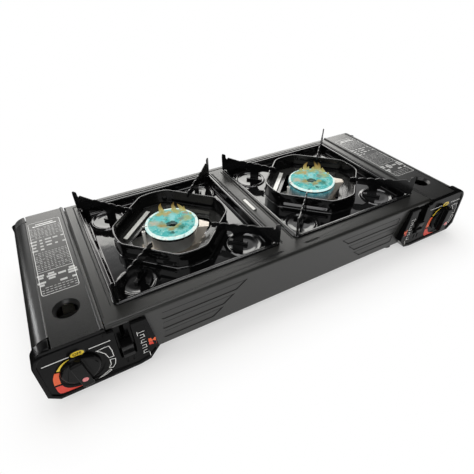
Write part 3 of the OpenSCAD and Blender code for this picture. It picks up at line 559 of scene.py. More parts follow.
# The rolled bead along the collar's lip: how far out it stands, and how far below the lip
COLLAR_BEAD = (
    (0.25, 1.9), (0.75, 1.4), (0.9, 0.8), (0.65, 0.25), (0.0, 0.0),
    (-1.1, 0.0), (-1.6, 0.35), (-1.7, 1.0), (-1.4, 1.8), (-1.2, 2.4),
)
BULGE_OUT, BULGE_REACH, BULGE_FADE = 2.8 * MM, 32 * MM, 36 * MM
RING_RISE, RING_EDGE, RING_DISH = 1.5 * MM, 2.2 * MM, 0.5 * MM
# The last rings form the collar's inner side and the underside, which aren't pressed
SOLE_RINGS = 8


def smooth_step(a, b, x):
    t = min(max((x - a) / (b - a), 0.0), 1.0)
    return t * t * (3 - 2 * t)


def arc_points(cx, cz, radius, start, end, count):
    turns = [math.radians(start + (end - start) * i / count) for i in range(count + 1)]
    return [(cx + radius * math.cos(turn), cz + radius * math.sin(turn)) for turn in turns]


def middle_of(name):
    """The middle of a solid's box, seen from above."""
    low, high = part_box(name)
    return (low[0] + high[0]) / 2, (low[1] + high[1]) / 2


def pan_rings():
    """Every ring as a function of its angle that gives distance and height."""
    h, r = pan_half, rim_z
    square = [(h, r)]
    square += arc_points(h - rim_roll, r + 0.95 * MM, rim_roll, 0, 180, 8)
    square += [(h - 2.9 * MM, r + 1.35 * MM), (h - 4.0 * MM, r + 1.3 * MM)]
    square += arc_points(well_half - 1.0 * MM + 1.8 * MM, r - 0.5 * MM, 1.8 * MM, 90, 180, 5)
    square += arc_points(well_half - 1.6 * MM - tray_foot, tray_z + tray_foot, tray_foot, 0, -90, 7)
    rings = [lambda a, d=d, z=z: (square_reach(a, d, max(6 * MM - (h - d), tray_corner)), z)
             for d, z in square]
    tray_edge = square[-1][0]
    steps = 46
    for i in range(1, steps):
        t = i / steps
        rings.append(lambda a, t=t: (
            (1 - t) * square_reach(a, tray_edge, tray_corner)
            + t * (collar_reach(a, collar_flat, collar_round) + 3 * MM), tray_z))
    foot = 3 * MM
    wall = [(foot - foot * math.sin(math.radians(x)), tray_z + foot - foot * math.cos(math.radians(x)))
            for x in (0, 18, 36, 54, 72, 90)]
    wall += [(0, tray_z + z * MM) for z in WALL_HEIGHTS]
    wall += [(out * MM, pan_lip - down * MM) for out, down in COLLAR_BEAD]
    wall += [(-sheet, tray_z + tray_foot), (-sheet, pan_low)]
    rings += [lambda a, d=d, z=z: (collar_reach(a, collar_flat, collar_round) + d, z) for d, z in wall]
    for t in (0.35, 0.7):
        rings.append(lambda a, t=t: ((1 - t) * (collar_reach(a, collar_flat, collar_round) - sheet)
                                     + t * square_reach(a, well_half, 4 * MM), pan_low))
    rings += [lambda a: (square_reach(a, well_half - 3 * MM, 4 * MM), pan_low),
              lambda a: (square_reach(a, well_half, sole_corner), pan_low + 3 * MM),
              lambda a: (square_reach(a, well_half, sole_corner), rim_z - 0.2 * MM),
              lambda a: (square_reach(a, well_half + 0.4 * MM, sole_corner), rim_z)]
    return rings


def pressed(x, y, z, top_skin):
    """Presses the tray's rings and the collar's bulges into a point, measured from the burner's axis."""
    if abs(z - tray_z) < 0.1 * MM and top_skin:
        for sx, sy in DIAGONALS:
            d = math.hypot(x - sx * ring_away / math.sqrt(2), y - sy * ring_away / math.sqrt(2))
            rise = smooth_step(ring_out, ring_out - RING_EDGE, d)
            lift = rise - smooth_step(ring_in + RING_EDGE, ring_in, d)
            z += RING_RISE * max(lift, 0.0)
            z -= RING_DISH * smooth_step(ring_in, ring_in - 8 * MM, d)
    over_tray = (z - tray_z) / MM
    if top_skin and 2.8 < over_tray < 11:
        for sx, sy in DIAGONALS:
            nx, ny = sx / math.sqrt(2), sy / math.sqrt(2)
            away, along = x * nx + y * ny, abs(-x * ny + y * nx)
            if abs(away - collar_flat) < 2 * MM:
                out = smooth_step(3.2, 4.4, over_tray) * min(max((9.2 - over_tray) / 3.2, 0.0), 1.0)
                out *= 1 - smooth_step(BULGE_REACH, BULGE_FADE, along)
                x += BULGE_OUT * out * nx
                y += BULGE_OUT * out * ny
    return x, y, z


for side in ("left", "right"):
    mid_x, mid_y = middle_of("drip_pan_" + side)
    made = []
    rings = pan_rings()
    for number, ring in enumerate(rings):
        row = []
        for degrees in pan_angles:
            angle = math.radians(degrees)
            reach, z = ring(angle)
            top_skin = number < len(rings) - SOLE_RINGS
            x, y, z = pressed(reach * math.cos(angle), reach * math.sin(angle), z, top_skin)
            row.append((mid_x + x, mid_y + y, z))
        made.append(row)
    pan = stand_for(loft("drip_pan_drawn_" + side, made, pan_angles, "gloss enamel"), "drip_pan_" + side)
print("drip pans:", len(pan.data.polygons), "faces each")

# %% [markdown]
# ## Printed marks
#
# The panels carry a few plain signs for the knob: a line and an oval that says
# OFF at its top, three outlined steps for lighting the burner on the right, and
# a warm scale on the left. Beside each lever stand a column of joined bars and
# a coloured tag. Ink is a real layer, so each mark is a closed slab about a
# tenth of a millimetre thick, laid on the surface that a ray finds.

# %% Inks
def ink(name, colour, roughness=0.42):
    layer = Finish(name)
    wear = layer.noise(900.0, 3.0, 0.6)
    cloud = layer.noise(120.0, 2.0)
    tone = layer.mix((wear - 0.58).clamp() * 2.2, rgb(*colour), times(colour, 0.55))
    return layer.shade(tone, roughness + (cloud - 0.5) * 0.15, Normal=layer.bump(wear, 0.00001, 0.4))


ink("white ink", (0.86, 0.86, 0.84))
ink("grey ink", (0.46, 0.46, 0.45))
ink("yellow ink", (0.93, 0.68, 0.05))
ink("orange ink", (0.90, 0.125, 0.025))
ink("red ink", (0.84, 0.055, 0.03))
ink("pink ink", (0.82, 0.26, 0.27))
ink("black ink", (0.008, 0.008, 0.008), 0.3)


# %% Flat shapes with a thickness
SINK = -0.00003  # how deep a mark's underside lies in the surface that carries it


def mesh_from(work, name):
    """The mesh of a finished bmesh, with its faces turned outward."""
    bmesh.ops.recalc_face_normals(work, faces=work.faces)
    mesh = bpy.data.meshes.new(name)
    work.to_mesh(mesh)
    work.free()
    return mesh


def smooth(points, steps=6):
    """More points on a soft curve through the given ones."""
    ends = [points[0], *points, points[-1]]
    out = []
    for a, b, c, d in zip(ends, ends[1:], ends[2:], ends[3:]):
        for i in range(steps):
            t = i / steps
            out.append(tuple(
                0.5 * (2 * b[k] + (c[k] - a[k]) * t + (2 * a[k] - 5 * b[k] + 4 * c[k] - d[k]) * t * t
                       + (3 * b[k] - a[k] - 3 * c[k] + d[k]) * t ** 3) for k in (0, 1)))
    return out + [points[-1]]


def resample(points, count):
    """The same line with evenly spaced points."""
    lengths = [0.0]
    for a, b in zip(points, points[1:]):
        lengths.append(lengths[-1] + math.dist(a, b))
    out, place = [], 0
    for i in range(count):
        want = lengths[-1] * i / (count - 1)
        while place < len(points) - 2 and lengths[place + 1] < want:
            place += 1
        span = max(lengths[place + 1] - lengths[place], 1e-9)
        t = min((want - lengths[place]) / span, 1.0)
        a, b = points[place], points[place + 1]
        out.append((a[0] + (b[0] - a[0]) * t, a[1] + (b[1] - a[1]) * t))
    return out


def edges_of(points, width, closed):
    """Two lines at half a width on either side of a line, mitred at its corners."""
    left, right = [], []
    count = len(points)
    for i, (x, y) in enumerate(points):
        before = points[i - 1] if closed or i else points[0]
        after = points[(i + 1) % count] if closed or i < count - 1 else points[-1]
        first = Vector((x - before[0], y - before[1]))
        second = Vector((after[0] - x, after[1] - y))
        first = first.normalized() if first.length > 1e-9 else second.normalized()
        second = second.normalized() if second.length > 1e-9 else first
        normal = Vector((-(first.y + second.y), first.x + second.x)).normalized()
        reach = width / 2 / max(normal.dot(Vector((-first.y, first.x))), 0.35)
        left.append((x + normal.x * reach, y + normal.y * reach))
        right.append((x - normal.x * reach, y - normal.y * reach))
    return left, right


class Print:
    """Collects marks on one surface and makes one closed mesh of them."""

    def __init__(self, place, lift=0.00008):
        self.work, self.place, self.lift = bmesh.new(), place, lift

    def band(self, left, right, closed=False):
        rows = [[self.work.verts.new(self.place(*p, h)) for p, h in
                 ((a, self.lift), (b, self.lift), (b, SINK), (a, SINK))] for a, b in zip(left, right)]
        for i in range(len(rows) if closed else len(rows) - 1):
            p, q = rows[i], rows[(i + 1) % len(rows)]
            for k in range(4):
                self.work.faces.new((p[k], q[k], q[(k + 1) % 4], p[(k + 1) % 4]))
        if not closed:
            self.work.faces.new(rows[0])
            self.work.faces.new(rows[-1][::-1])

    def line(self, points, width, closed=False):
        self.band(*edges_of(points, width, closed), closed)

    def patch(self, outline):
        """A filled outline, as a fan round its middle."""
        middle = tuple(sum(p[k] for p in outline) / len(outline) for k in (0, 1))
        top = [self.work.verts.new(self.place(*p, self.lift)) for p in outline]
        low = [self.work.verts.new(self.place(*p, SINK)) for p in outline]
        crown, base = (self.work.verts.new(self.place(*middle, h)) for h in (self.lift, SINK))
        for i in range(len(top)):
            j = (i + 1) % len(top)
            self.work.faces.new((top[i], top[j], crown))
            self.work.faces.new((low[j], low[i], base))
            self.work.faces.new((top[j], top[i], low[i], low[j]))

    def done(self, name, finish, body, slot):
        piece = put(name, mesh_from(self.work, name), finish)
        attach(piece, body)
        return piece


def oval(cx, cy, rx, ry, count=40):
    turns = [2 * math.pi * i / count for i in range(count)]
    return [(cx + rx * math.cos(turn), cy + ry * math.sin(turn)) for turn in turns]


def round_frame(x0, y0, x1, y1, r, count=6):
    corners = ((x1 - r, y1 - r, 0), (x0 + r, y1 - r, 90), (x0 + r, y0 + r, 180), (x1 - r, y0 + r, 270))
    points = []
    for cx, cy, start in corners:
        points += arc_points(cx, cy, r, start, start + 90, count)
    return points


def skin_of(name):
    mesh = nodes[name].data
    return BVHTree.FromPolygons([v.co for v in mesh.vertices], [p.vertices[:] for p in mesh.polygons])


def height_at(skin, x, y):
    """Height of the surface that a ray from above meets."""
    return skin.ray_cast(Vector((x, y, 0.3)), Vector((0, 0, -1)))[0].z


def front_at(skin, x, z):
    """Where a ray from the front meets a surface, and the normal there."""
    return skin.ray_cast(Vector((x, -0.3, z)), Vector((0, 1, 0)))[:2]


# %% Print the knobs' scales
# The outer and inner line of each stretch, in millimetres from the knob's axis
SCALE_MARKS = {
    "yellow ink": ([(-7.2, 20.6), (-15.0, 17.8), (-22.3, 10.0)],
                   [(-7.4, 20.0), (-13.7, 14.3), (-19.6, 8.2)]),
    "orange ink": ([(-24.8, 8.0), (-28.3, -0.1), (-29.8, -10.6)],
                   [(-20.1, 6.5), (-22.4, -0.6), (-23.3, -11.4)]),
    "red ink": ([(-29.7, -13.6), (-29.2, -23.0), (-26.1, -27.6), (-13.6, -28.6), (-5.2, -28.8)],
                [(-23.1, -14.4), (-21.4, -19.4), (-18.1, -23.4), (-12.0, -26.6), (-5.3, -28.2)]),
}
# Outlines of the three steps, measured in the same way
STEPS = [
    [(19.7, 15.9), (27.0, 16.6), (32.8, 16.5), (34.4, 8.0),
     (34.5, -2.6), (29.2, -2.3), (27.2, 6.0), (23.6, 11.6)],
    [(29.5, -5.8), (35.2, -7.4), (34.6, -12.0), (33.3, -16.4), (29.9, -20.7), (26.0, -18.7), (29.2, -14.2)],
    [(26.8, -22.0), (27.6, -24.3), (18.4, -28.2), (12.8, -28.9), (18.2, -26.4)],
]


def on_front(skin):
    """A place on a surface, found by a ray from the front."""
    def place(x, z, lift):
        point = front_at(skin, x, z)[0]
        return point.x, point.y - lift, point.z

    return place


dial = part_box("spindle_left")
dial_x = abs(middle_of("spindle_left")[0])
dial_z = (dial[0][2] + dial[1][2]) / 2
OVAL_AT = (2.0, 24.0)  # millimetres from the knob's axis
# The column of bars and the tag beside a lever, in metres
BARS_X, BARS_TOP, BARS_STEP, BARS_WIDTH, BARS_TURN = 0.2130, 0.0600, 0.0046, 0.0007, 0.0022
HALF_BARS = (0.0034, 0.0024, 0.0030, 0.0018)
TAG_X, TAG_CORNER = (0.1992, 0.2074), 0.0008
for side, sign in (("left", -1), ("right", 1)):
    skin = skin_of("control_panel_" + side)
    face_y = front_at(skin, sign * dial_x - 0.028, dial_z + 0.019)[0].y

    def on_panel(u, v, lift, x=sign * dial_x, y=face_y):
        return (x + u * MM, y - lift, dial_z + v * MM)

    white = Print(on_panel)
    for start, end in ((-32.5, -6.2), (13.6, 36.0)):
        white.line([(start, 24.0), (end, 24.0)], 1.0)
    for step in STEPS:
        white.line(step, 0.8, closed=True)
    white.done("scale_lines_" + side, "white ink", "root", "panel_plastic")
    for colour, (outer, inner) in SCALE_MARKS.items():
        mark = Print(on_panel)
        mark.band(resample(smooth(outer), 24), resample(smooth(inner), 24))
        mark.done(colour.split()[0] + "_scale_" + side, colour, "root", "panel_plastic")
    rim = Print(on_panel, 0.00006)
    rim.patch(oval(*OVAL_AT, 8.2, 5.4))
    rim.done("oval_ground_" + side, "black ink", "root", "panel_plastic")
    top = Print(on_panel, 0.00012)
    top.patch(oval(*OVAL_AT, 6.9, 4.1))
    top.done("oval_mark_" + side, "yellow ink", "root", "panel_plastic")

    ticks = Print(on_front(skin), 0.00007)
    for row in range(9):
        v, half, middle = BARS_TOP - BARS_STEP * row, HALF_BARS[row % 4], sign * BARS_X
        ticks.line([(middle - half, v), (middle + half, v)], BARS_WIDTH)
        if row % 2:
            joint = middle + (BARS_TURN if row % 4 == 1 else -BARS_TURN)
            ticks.line([(joint, v), (joint, v - BARS_STEP)], BARS_WIDTH)
    for x, top_end, low_end in ((0.2175, 0.0625, 0.0560), (0.2090, 0.0215, 0.0160)):
        ticks.line([(sign * x, top_end), (sign * x, low_end)], BARS_WIDTH)
    ticks.done("inner_ticks_" + side, "white ink", "root", "panel_plastic")
    for colour, near, far in (("orange ink", 0.0385, 0.0445), ("red ink", 0.0335, 0.0379)):
        swatch = Print(on_front(skin), 0.00007)
        x0, x1 = sorted(sign * x for x in TAG_X)
        swatch.patch(round_frame(x0, near, x1, far, TAG_CORNER, 3))
        swatch.done("inner_%s_%s" % (colour.split()[0], side), colour, "root", "panel_plastic")

    letters = bpy.data.curves.new("off_" + side, "FONT")
    letters.body = "OFF"
    letters.size = 5.2 * MM
    letters.align_x, letters.align_y = "CENTER", "CENTER"
    letters.offset = 0.00012
    letters.extrude = 0.00004
    letters.resolution_u = 3
    word = bpy.data.objects.new("off_word_" + side, letters)
    scene.collection.objects.link(word)
    graph = bpy.context.evaluated_depsgraph_get()
    word_mesh = bpy.data.meshes.new_from_object(word.evaluated_get(graph), depsgraph=graph)
    bpy.data.objects.remove(word)
    upright = Matrix.Rotation(math.radians(90), 4, "X")
    word_mesh.transform(Matrix.Translation(on_panel(*OVAL_AT, 0.00014)) @ upright)
    word = put("off_word_" + side, word_mesh, "black ink")
    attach(word, "root")

    knob_front = front_at(skin_of("knob_" + side), sign * dial_x + 0.001, dial_z - 0.006)[0].y
    dot = Print(lambda u, v, lift, x=sign * dial_x, y=knob_front: (x + u * MM, y - lift, dial_z + v * MM))
    dot.patch(oval(1.0, -6.2, 3.2, 3.2))
    dot.done("knob_dot_" + side, "pink ink", "knob_" + side, "knob_plastic")
print("printed scales on panels at y", round(face_y, 4))

# %% [markdown]
# ## Painted shade in the seams
#
# The grooves of the cooking top, the joint beside each lid and the upper edge of
# every panel in the skirt, where sheet steel has been pressed, get painted shade:
# each is a thin dark band on the floor that a ray finds there. A white strip on
# the slot between the burners is a painted glint. At the back of each well two
# ribs get a thin cap, and the back-left one is painted light as the rib's highlight.

# %% Paint shade into the seams
# Near-black ink that paints shade into the grooves, the joints and the recess edges
ink("painted shade ink", (0.0018, 0.0018, 0.0017), 0.7)
plate = skin_of("top_plate")


def on_top(x, y, lift):
    return x, y, height_at(plate, x, y) + lift


def on_skirt(x, z, lift):
    point, normal = front_at(plate, x, z)
    return tuple(point - Vector((0, normal.y, normal.z)).normalized() * (-lift if normal.y < 0 else lift))


# Painted shade lines that run from front to back: distance from the middle, near end, far end and width
PAIRED_SEAMS = (
    (0.234, -0.095, 0.125, 0.0014), (0.008, -0.095, 0.115, 0.0014), (0.2452, -0.118, 0.132, 0.0022),
)
runs = [(sign * x, *rest) for x, *rest in PAIRED_SEAMS for sign in (-1, 1)]
# A wider band of painted shadow beside the left pan's rim
runs.append((-0.0098, -0.098, 0.118, 0.0018))
seams = Print(on_top, 0.00005)
for x, near, far, width in runs:
    seams.line([(x, near + (far - near) * i / 8) for i in range(9)], width)
# Painted shade along the back groove and in the two oblong recesses at the front
seams.line([(-0.07 + 0.302 * i / 12, 0.126) for i in range(13)], 0.0012)
for x in (-0.0285, 0.0285):
    seams.line([(x - 0.0098, -0.1115), (x, -0.1115), (x + 0.0098, -0.1115)], 0.0030)
seams.done("top_seam_shade", "painted shade ink", "root", "enamel")

# A white strip laid on the slot between the burners: a painted glint
glint_strip = Print(on_top, 0.00035)
glint_strip.band([(-0.0032, y) for y in (-0.0125, 0.002, 0.0185)], [(0.0004, y) for y in (-0.0135, 0.001, 0.0175)])
glint_strip.done("slot_painted_glint", "painted glint white", "root", "bright_steel")

RECESSES = ((0.075, 0.072), (0.092, 0.053), (0.107, 0.035))
RECESS_END = 0.1865
# Painted shade under each skirt recess's upper edge and along its slanted end
folds = Print(on_skirt, 0.00005)
for sign in (-1, 1):
    for start, top in RECESSES:
        reach = RECESS_END - start - 0.003
        upper = [(sign * (RECESS_END - reach * i / 12), top - 0.0013) for i in range(13)]
        slant = [(sign * (start + 0.0026 + 0.0125 * i / 4), top - 0.0019 - 0.0102 * i / 4) for i in range(5)]
        folds.line(upper, 0.0015)
        folds.line(slant, 0.0011)
folds.done("skirt_fold_shade", "painted shade ink", "root", "enamel")
rib_at, rib_reach, rib_width = 0.0555, 0.0345, 0.0062
for side in ("left", "right"):
    cx, cy = middle_of("burner_rim_" + side)
    floor_of_well = skin_of("pan_well_" + side)
    # The back-left cap is painted light as the rib's highlight; the back-right cap is dull zinc
    for label, degrees, finish in (("back_left", 135, "painted rib highlight"), ("back_right", 45, "dull zinc")):
        caps = Print(lambda x, y, lift, skin=floor_of_well: (x, y, height_at(skin, x, y) + lift), 0.00012)
        turn = math.radians(degrees)
        out, along = (math.cos(turn), math.sin(turn)), (-math.sin(turn), math.cos(turn))
        caps.line([(cx + out[0] * rib_at + along[0] * rib_reach * (i / 6 - 1),
                    cy + out[1] * rib_at + along[1] * rib_reach * (i / 6 - 1)) for i in range(13)], rib_width)
        caps.done("rib_cap_%s_%s" % (label, side), finish, "root", "aluminised")
# The seam bands are painted shade, and the back-left rib cap is a painted highlight
print("seams filled on the top and the skirt, ribs bared under the collars")

# %% [markdown]
# ## Bay liners
#
# A narrow strip of sheet steel lines the outer side of each cartridge bay, just
# under the hinge. It closes the slit beneath the lid, so the finger hole looks
# into a dark bay. The strip is bent once, so it is a swept profile with caps.

# %% Fold the liners
LINER_ENDS = (-0.100, 0.112)
# The strip's profile: distance from the stove's middle and height, in millimetres
LINER = ((313.0, 55.0), (313.0, 63.4), (313.6, 63.4), (313.6, 55.2), (315.0, 49.0), (314.4, 49.0))
for side, sign in (("left", -1), ("right", 1)):
    strip = bmesh.new()
    ends = [[strip.verts.new((sign * x * MM, y, z * MM)) for x, z in LINER] for y in LINER_ENDS]
    for i in range(len(LINER)):
        j = (i + 1) % len(LINER)
        strip.faces.new((ends[0][i], ends[0][j], ends[1][j], ends[1][i]))
    strip.faces.new(ends[0])
    strip.faces.new(ends[1])
    liner = put("bay_liner_" + side, mesh_from(strip, "bay_liner_" + side), "shell paint")
    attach(liner, "root")
print("bay liners:", len(liner.data.polygons), "faces each")

# %% [markdown]
# ## Marks on the lids
#
# Each lid has a thin printed frame with ruled rows inside it. The rows are
# many small dashes of uneven length, so Geometry Nodes makes them: a grid of
# points, a seeded length for each, and one dash on every point that is kept.

# %% Start and close a Geometry Nodes group
def new_group(name, inputs):
    """A group with named inputs, its tree, and each input as a wire."""
    group = bpy.data.node_groups.new(name, "GeometryNodeTree")
    for way in ("OUTPUT", "INPUT"):
        group.interface.new_socket("Geometry", in_out=way, socket_type="NodeSocketGeometry")
    for label, (kind, value) in inputs.items():
        socket = group.interface.new_socket(label, in_out="INPUT", socket_type="NodeSocket" + kind)
        socket.default_value = value
    tree = Tree(group)
    given = group.nodes.new("NodeGroupInput")
    return group, tree, {socket.name: Wire(tree, socket) for socket in given.outputs if socket.name}


def close_group(tree, geometry, finish):
    """Makes the instances real, gives them their finish and sends them out."""
    solid = tree.node("GeometryNodeRealizeInstances", None, {"Geometry": geometry})
    done = tree.node("GeometryNodeSetMaterial", None, {"Geometry": solid, "Material": finishes[finish]})
    tree.node("NodeGroupOutput", None, {"Geometry": done})


# %% A group that rules rows of dashes
def dash_rows(finish):
    group, g, take = new_group("dash_rows", {
        "Width": ("Float", 0.036), "Length": ("Float", 0.07), "Columns": ("Int", 9), "Rows": ("Int", 20),
        "Dash Height": ("Float", 0.0008), "Keep": ("Float", 0.85), "Seed": ("Int", 3),
    })
    grid = g.node("GeometryNodeMeshGrid", None, {
        "Size X": take["Width"], "Size Y": take["Length"],
        "Vertices X": take["Columns"], "Vertices Y": take["Rows"],
    })
    chance = g.random(0.0, 1.0, take["Seed"])
    length = g.random(0.35, 0.92, take["Seed"] + 7)
    stretch = g.node("ShaderNodeCombineXYZ", None, {
        0: length * take["Width"] / (take["Columns"] - 1), 1: take["Dash Height"], 2: 0.0001,
    })
    dash = g.node("GeometryNodeMeshCube", None, {"Size": (1.0, 1.0, 1.0)})
    kept = g.node("GeometryNodeInstanceOnPoints", None, {
        "Points": grid, "Selection": chance < take["Keep"], "Instance": dash, "Scale": stretch,
    })
    close_group(g, kept, finish)
    return group


def grown(name, group, settings, finish, place):
    """One mesh from a Geometry Nodes group, moved to its place."""
    seed = put(name, bpy.data.meshes.new(name))
    modifier = seed.modifiers.new("grow", "NODES")
    modifier.node_group = group
    for socket in group.interface.items_tree:
        if socket.in_out == "INPUT" and socket.name in settings:
            modifier[socket.identifier] = settings[socket.name]
    baked(seed, name)
    seed.data.transform(place)
    paint(seed, finish)
    return seed


# %% Print the lids
ruled = dash_rows("grey ink")
frame_in, frame_out, frame_near, frame_far = 0.2568, 0.2978, -0.0437, 0.1130
rule_share, rows_width = 0.27, 0.036
for side, sign in (("left", -1), ("right", 1)):
    skin = skin_of("lid_" + side)
    top_z = height_at(skin, sign * 0.277, 0.0)
    lines = Print(lambda u, v, lift, z=top_z: (u, v, z + lift))
    x0, x1 = sorted((sign * frame_in, sign * frame_out))
    lines.line(round_frame(x0, frame_near, x1, frame_far, 0.003), 0.0005, closed=True)
    rule = frame_near + rule_share * (frame_far - frame_near)
    lines.line([(x0 + 0.0003, rule), (x1 - 0.0003, rule)], 0.0004)
    for row, (u0, u1) in enumerate(((0.22, 0.78), (0.12, 0.88))):
        v = frame_far - 0.006 - 0.0042 * row
        lines.line([(x0 + (x1 - x0) * u0, v), (x0 + (x1 - x0) * u1, v)], 0.0016)
    lines.done("lid_frame_" + side, "white ink", "lid_" + side, "lid_paint")
    mid_x = sign * (frame_in + frame_out) / 2
    for number, (near, far, rows, columns, height, keep) in enumerate((
            (frame_far - 0.040, frame_far - 0.016, 8, 9, 0.00085, 0.9),
            (frame_far - 0.068, frame_far - 0.047, 4, 5, 0.0030, 0.8),
            (rule + 0.004, frame_far - 0.075, 11, 10, 0.0007, 0.9),
            (rule - 0.024, rule - 0.006, 5, 4, 0.0034, 0.7),
            (frame_near + 0.004, rule - 0.030, 3, 9, 0.0008, 0.9))):
        rows_mesh = grown("lid_rows_%d_%s" % (number + 1, side), ruled, {
            "Width": rows_width, "Length": far - near, "Columns": columns, "Rows": rows,
            "Dash Height": height, "Keep": keep, "Seed": 5 + number,
        }, "grey ink", Matrix.Translation((mid_x, (near + far) / 2, top_z + 0.00002)))
        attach(rows_mesh, "lid_" + side)
print("lid rows:", len(rows_mesh.data.polygons), "faces in the last block")

# %% [markdown]
# ## Flames
#
# The burners are lit. Each flame is a pale blue-green veil over the ports with
# a dark eye in the middle, and a few yellow tongues that stand up where the
# gas burns rich, most of them at the back.

# %% Flame finishes
BURNER_X, BURNER_Y = middle_of("burner_rim_right")
# Soft spots in a flame, from the burner's axis: across, ahead, reach (mm) and colour
RICH_SPOTS = (
    (-13.0, -3.0, 11.0, rgb(0.42, 0.28, 0.07)), (3.9, -11.0, 9.0, rgb(0.44, 0.36, 0.10)),
    (-5.3, -15.5, 7.5, rgb(0.40, 0.30, 0.10)), (7.0, -19.0, 8.5, rgb(0.05, 0.19, 0.13)),
    (22.8, -0.5, 10.5, rgb(0.40, 0.44, 0.18)), (-23.0, 8.4, 10.0, rgb(0.58, 0.50, 0.36)),
    (1.5, 21.0, 9.0, rgb(0.55, 0.38, 0.13)), (15.0, 20.0, 9.0, rgb(0.46, 0.42, 0.13)),
    (-7.0, 26.0, 9.0, rgb(0.48, 0.40, 0.11)), (14.4, 1.0, 5.5, rgb(0.20, 0.26, 0.24)),
    (-8.6, -24.5, 3.6, rgb(0.03, 0.09, 0.07)), (6.0, 11.0, 8.0, rgb(0.34, 0.74, 0.74)),
    (-13.0, 14.0, 9.0, rgb(0.16, 0.62, 0.62)), (26.0, 10.0, 6.0, rgb(0.42, 0.32, 0.22)),
)
STIR = 4.5  # the noise moves a spot's edge by up to this many millimetres each way


def flame(name, cool, pale, warm, strength, low, high, thick, spots=1.0, drift=0.25):
    """Glowing gas: blue-green near the ports, coloured in soft spots, and thinner towards its top."""
    fire = Finish(name)
    across, along, up = fire.axes(fire.place)
    right = across > 0.0
    side = across - (right * 2.0 - 1.0) * BURNER_X
    ahead = along - BURNER_Y
    clouds = fire.noise(120.0, 1.0)
    streaks = fire.noise(210.0, 2.0, 0.5)
    specks = fire.noise(430.0, 1.0)
    body = fire.mix(((clouds - 0.42) * 5.0).clamp(), cool, pale)
    body = fire.mix(((0.44 - streaks) * 6.0).clamp(), body, times(cool, 0.42))
    body = fire.mix(((specks - 0.60) * 5.0).clamp(), body, rgb(0.62, 0.90, 0.86))
    if spots:
        flat = fire.node("ShaderNodeCombineXYZ", None, {0: side * 1000.0, 1: ahead * 1000.0})
        stir = fire.node("ShaderNodeVectorMath", {"operation": "MULTIPLY_ADD"}, {
            0: fire.node("ShaderNodeTexNoise", None, {
                "Vector": fire.place, "Scale": 160.0, "Detail": 1.0}, out=1),
            1: (2 * STIR, 2 * STIR, 0.0), 2: flat})
        for x, y, reach, colour in RICH_SPOTS:
            spot = (x + STIR, y + STIR, 0.0)
            apart = fire.node("ShaderNodeVectorMath", {"operation": "DISTANCE"}, {0: stir, 1: spot}, out=1)
            amount = (1 - apart / reach) * 1.5 * spots - (streaks - 0.5) * 1.2
            body = fire.mix(amount.clamp() * 0.88, body, colour)
    tip = ((up - low) / (high - low)).clamp()
    heat = fire.mix((tip * 1.6).clamp(), body, warm)
    fire.shade(rgb(0.005, 0.02, 0.02), 0.9, Emission_Color=heat, Emission_Strength=strength,
               Alpha=((1 - tip) * thick + (streaks - 0.5) * drift).clamp(), Specular_IOR_Level=0.0)
    return fire.material


# Cool, pale and warm colour, strength, height where it starts and where it has faded, and density
flame("flame veil", rgb(0.10, 0.50, 0.48), rgb(0.27, 0.64, 0.58), rgb(0.50, 0.42, 0.14),
      0.92, 0.0925, 0.104, 1.0)
flame("flame lick", rgb(0.44, 0.50, 0.20), rgb(0.58, 0.52, 0.16), rgb(0.42, 0.27, 0.07),
      0.90, 0.0905, 0.107, 0.92, spots=0.0, drift=0.9)
flame("flame tongue", rgb(0.22, 0.50, 0.34), rgb(0.50, 0.52, 0.20), rgb(0.55, 0.42, 0.12),
      0.88, 0.090, 0.101, 0.66, spots=0.0, drift=0.8)
# A dim glowing shell that paints the flames' blue-green light onto the right cup's outer wall
flame("painted flame light", rgb(0.02, 0.20, 0.24), rgb(0.10, 0.30, 0.33), rgb(0.10, 0.12, 0.13),
      0.9, 0.086, 0.066, 0.62, spots=0.0, drift=0.7)
# The flames' bright edge, glowing over the burner rim, where it also paints the rim's highlight
flame("flame edge and painted rim highlight", rgb(0.66, 0.93, 0.91), rgb(0.93, 0.96, 0.88), rgb(0.90, 0.88, 0.76),
      0.98, 0.0925, 0.102, 1.0, spots=0.0, drift=0.0)


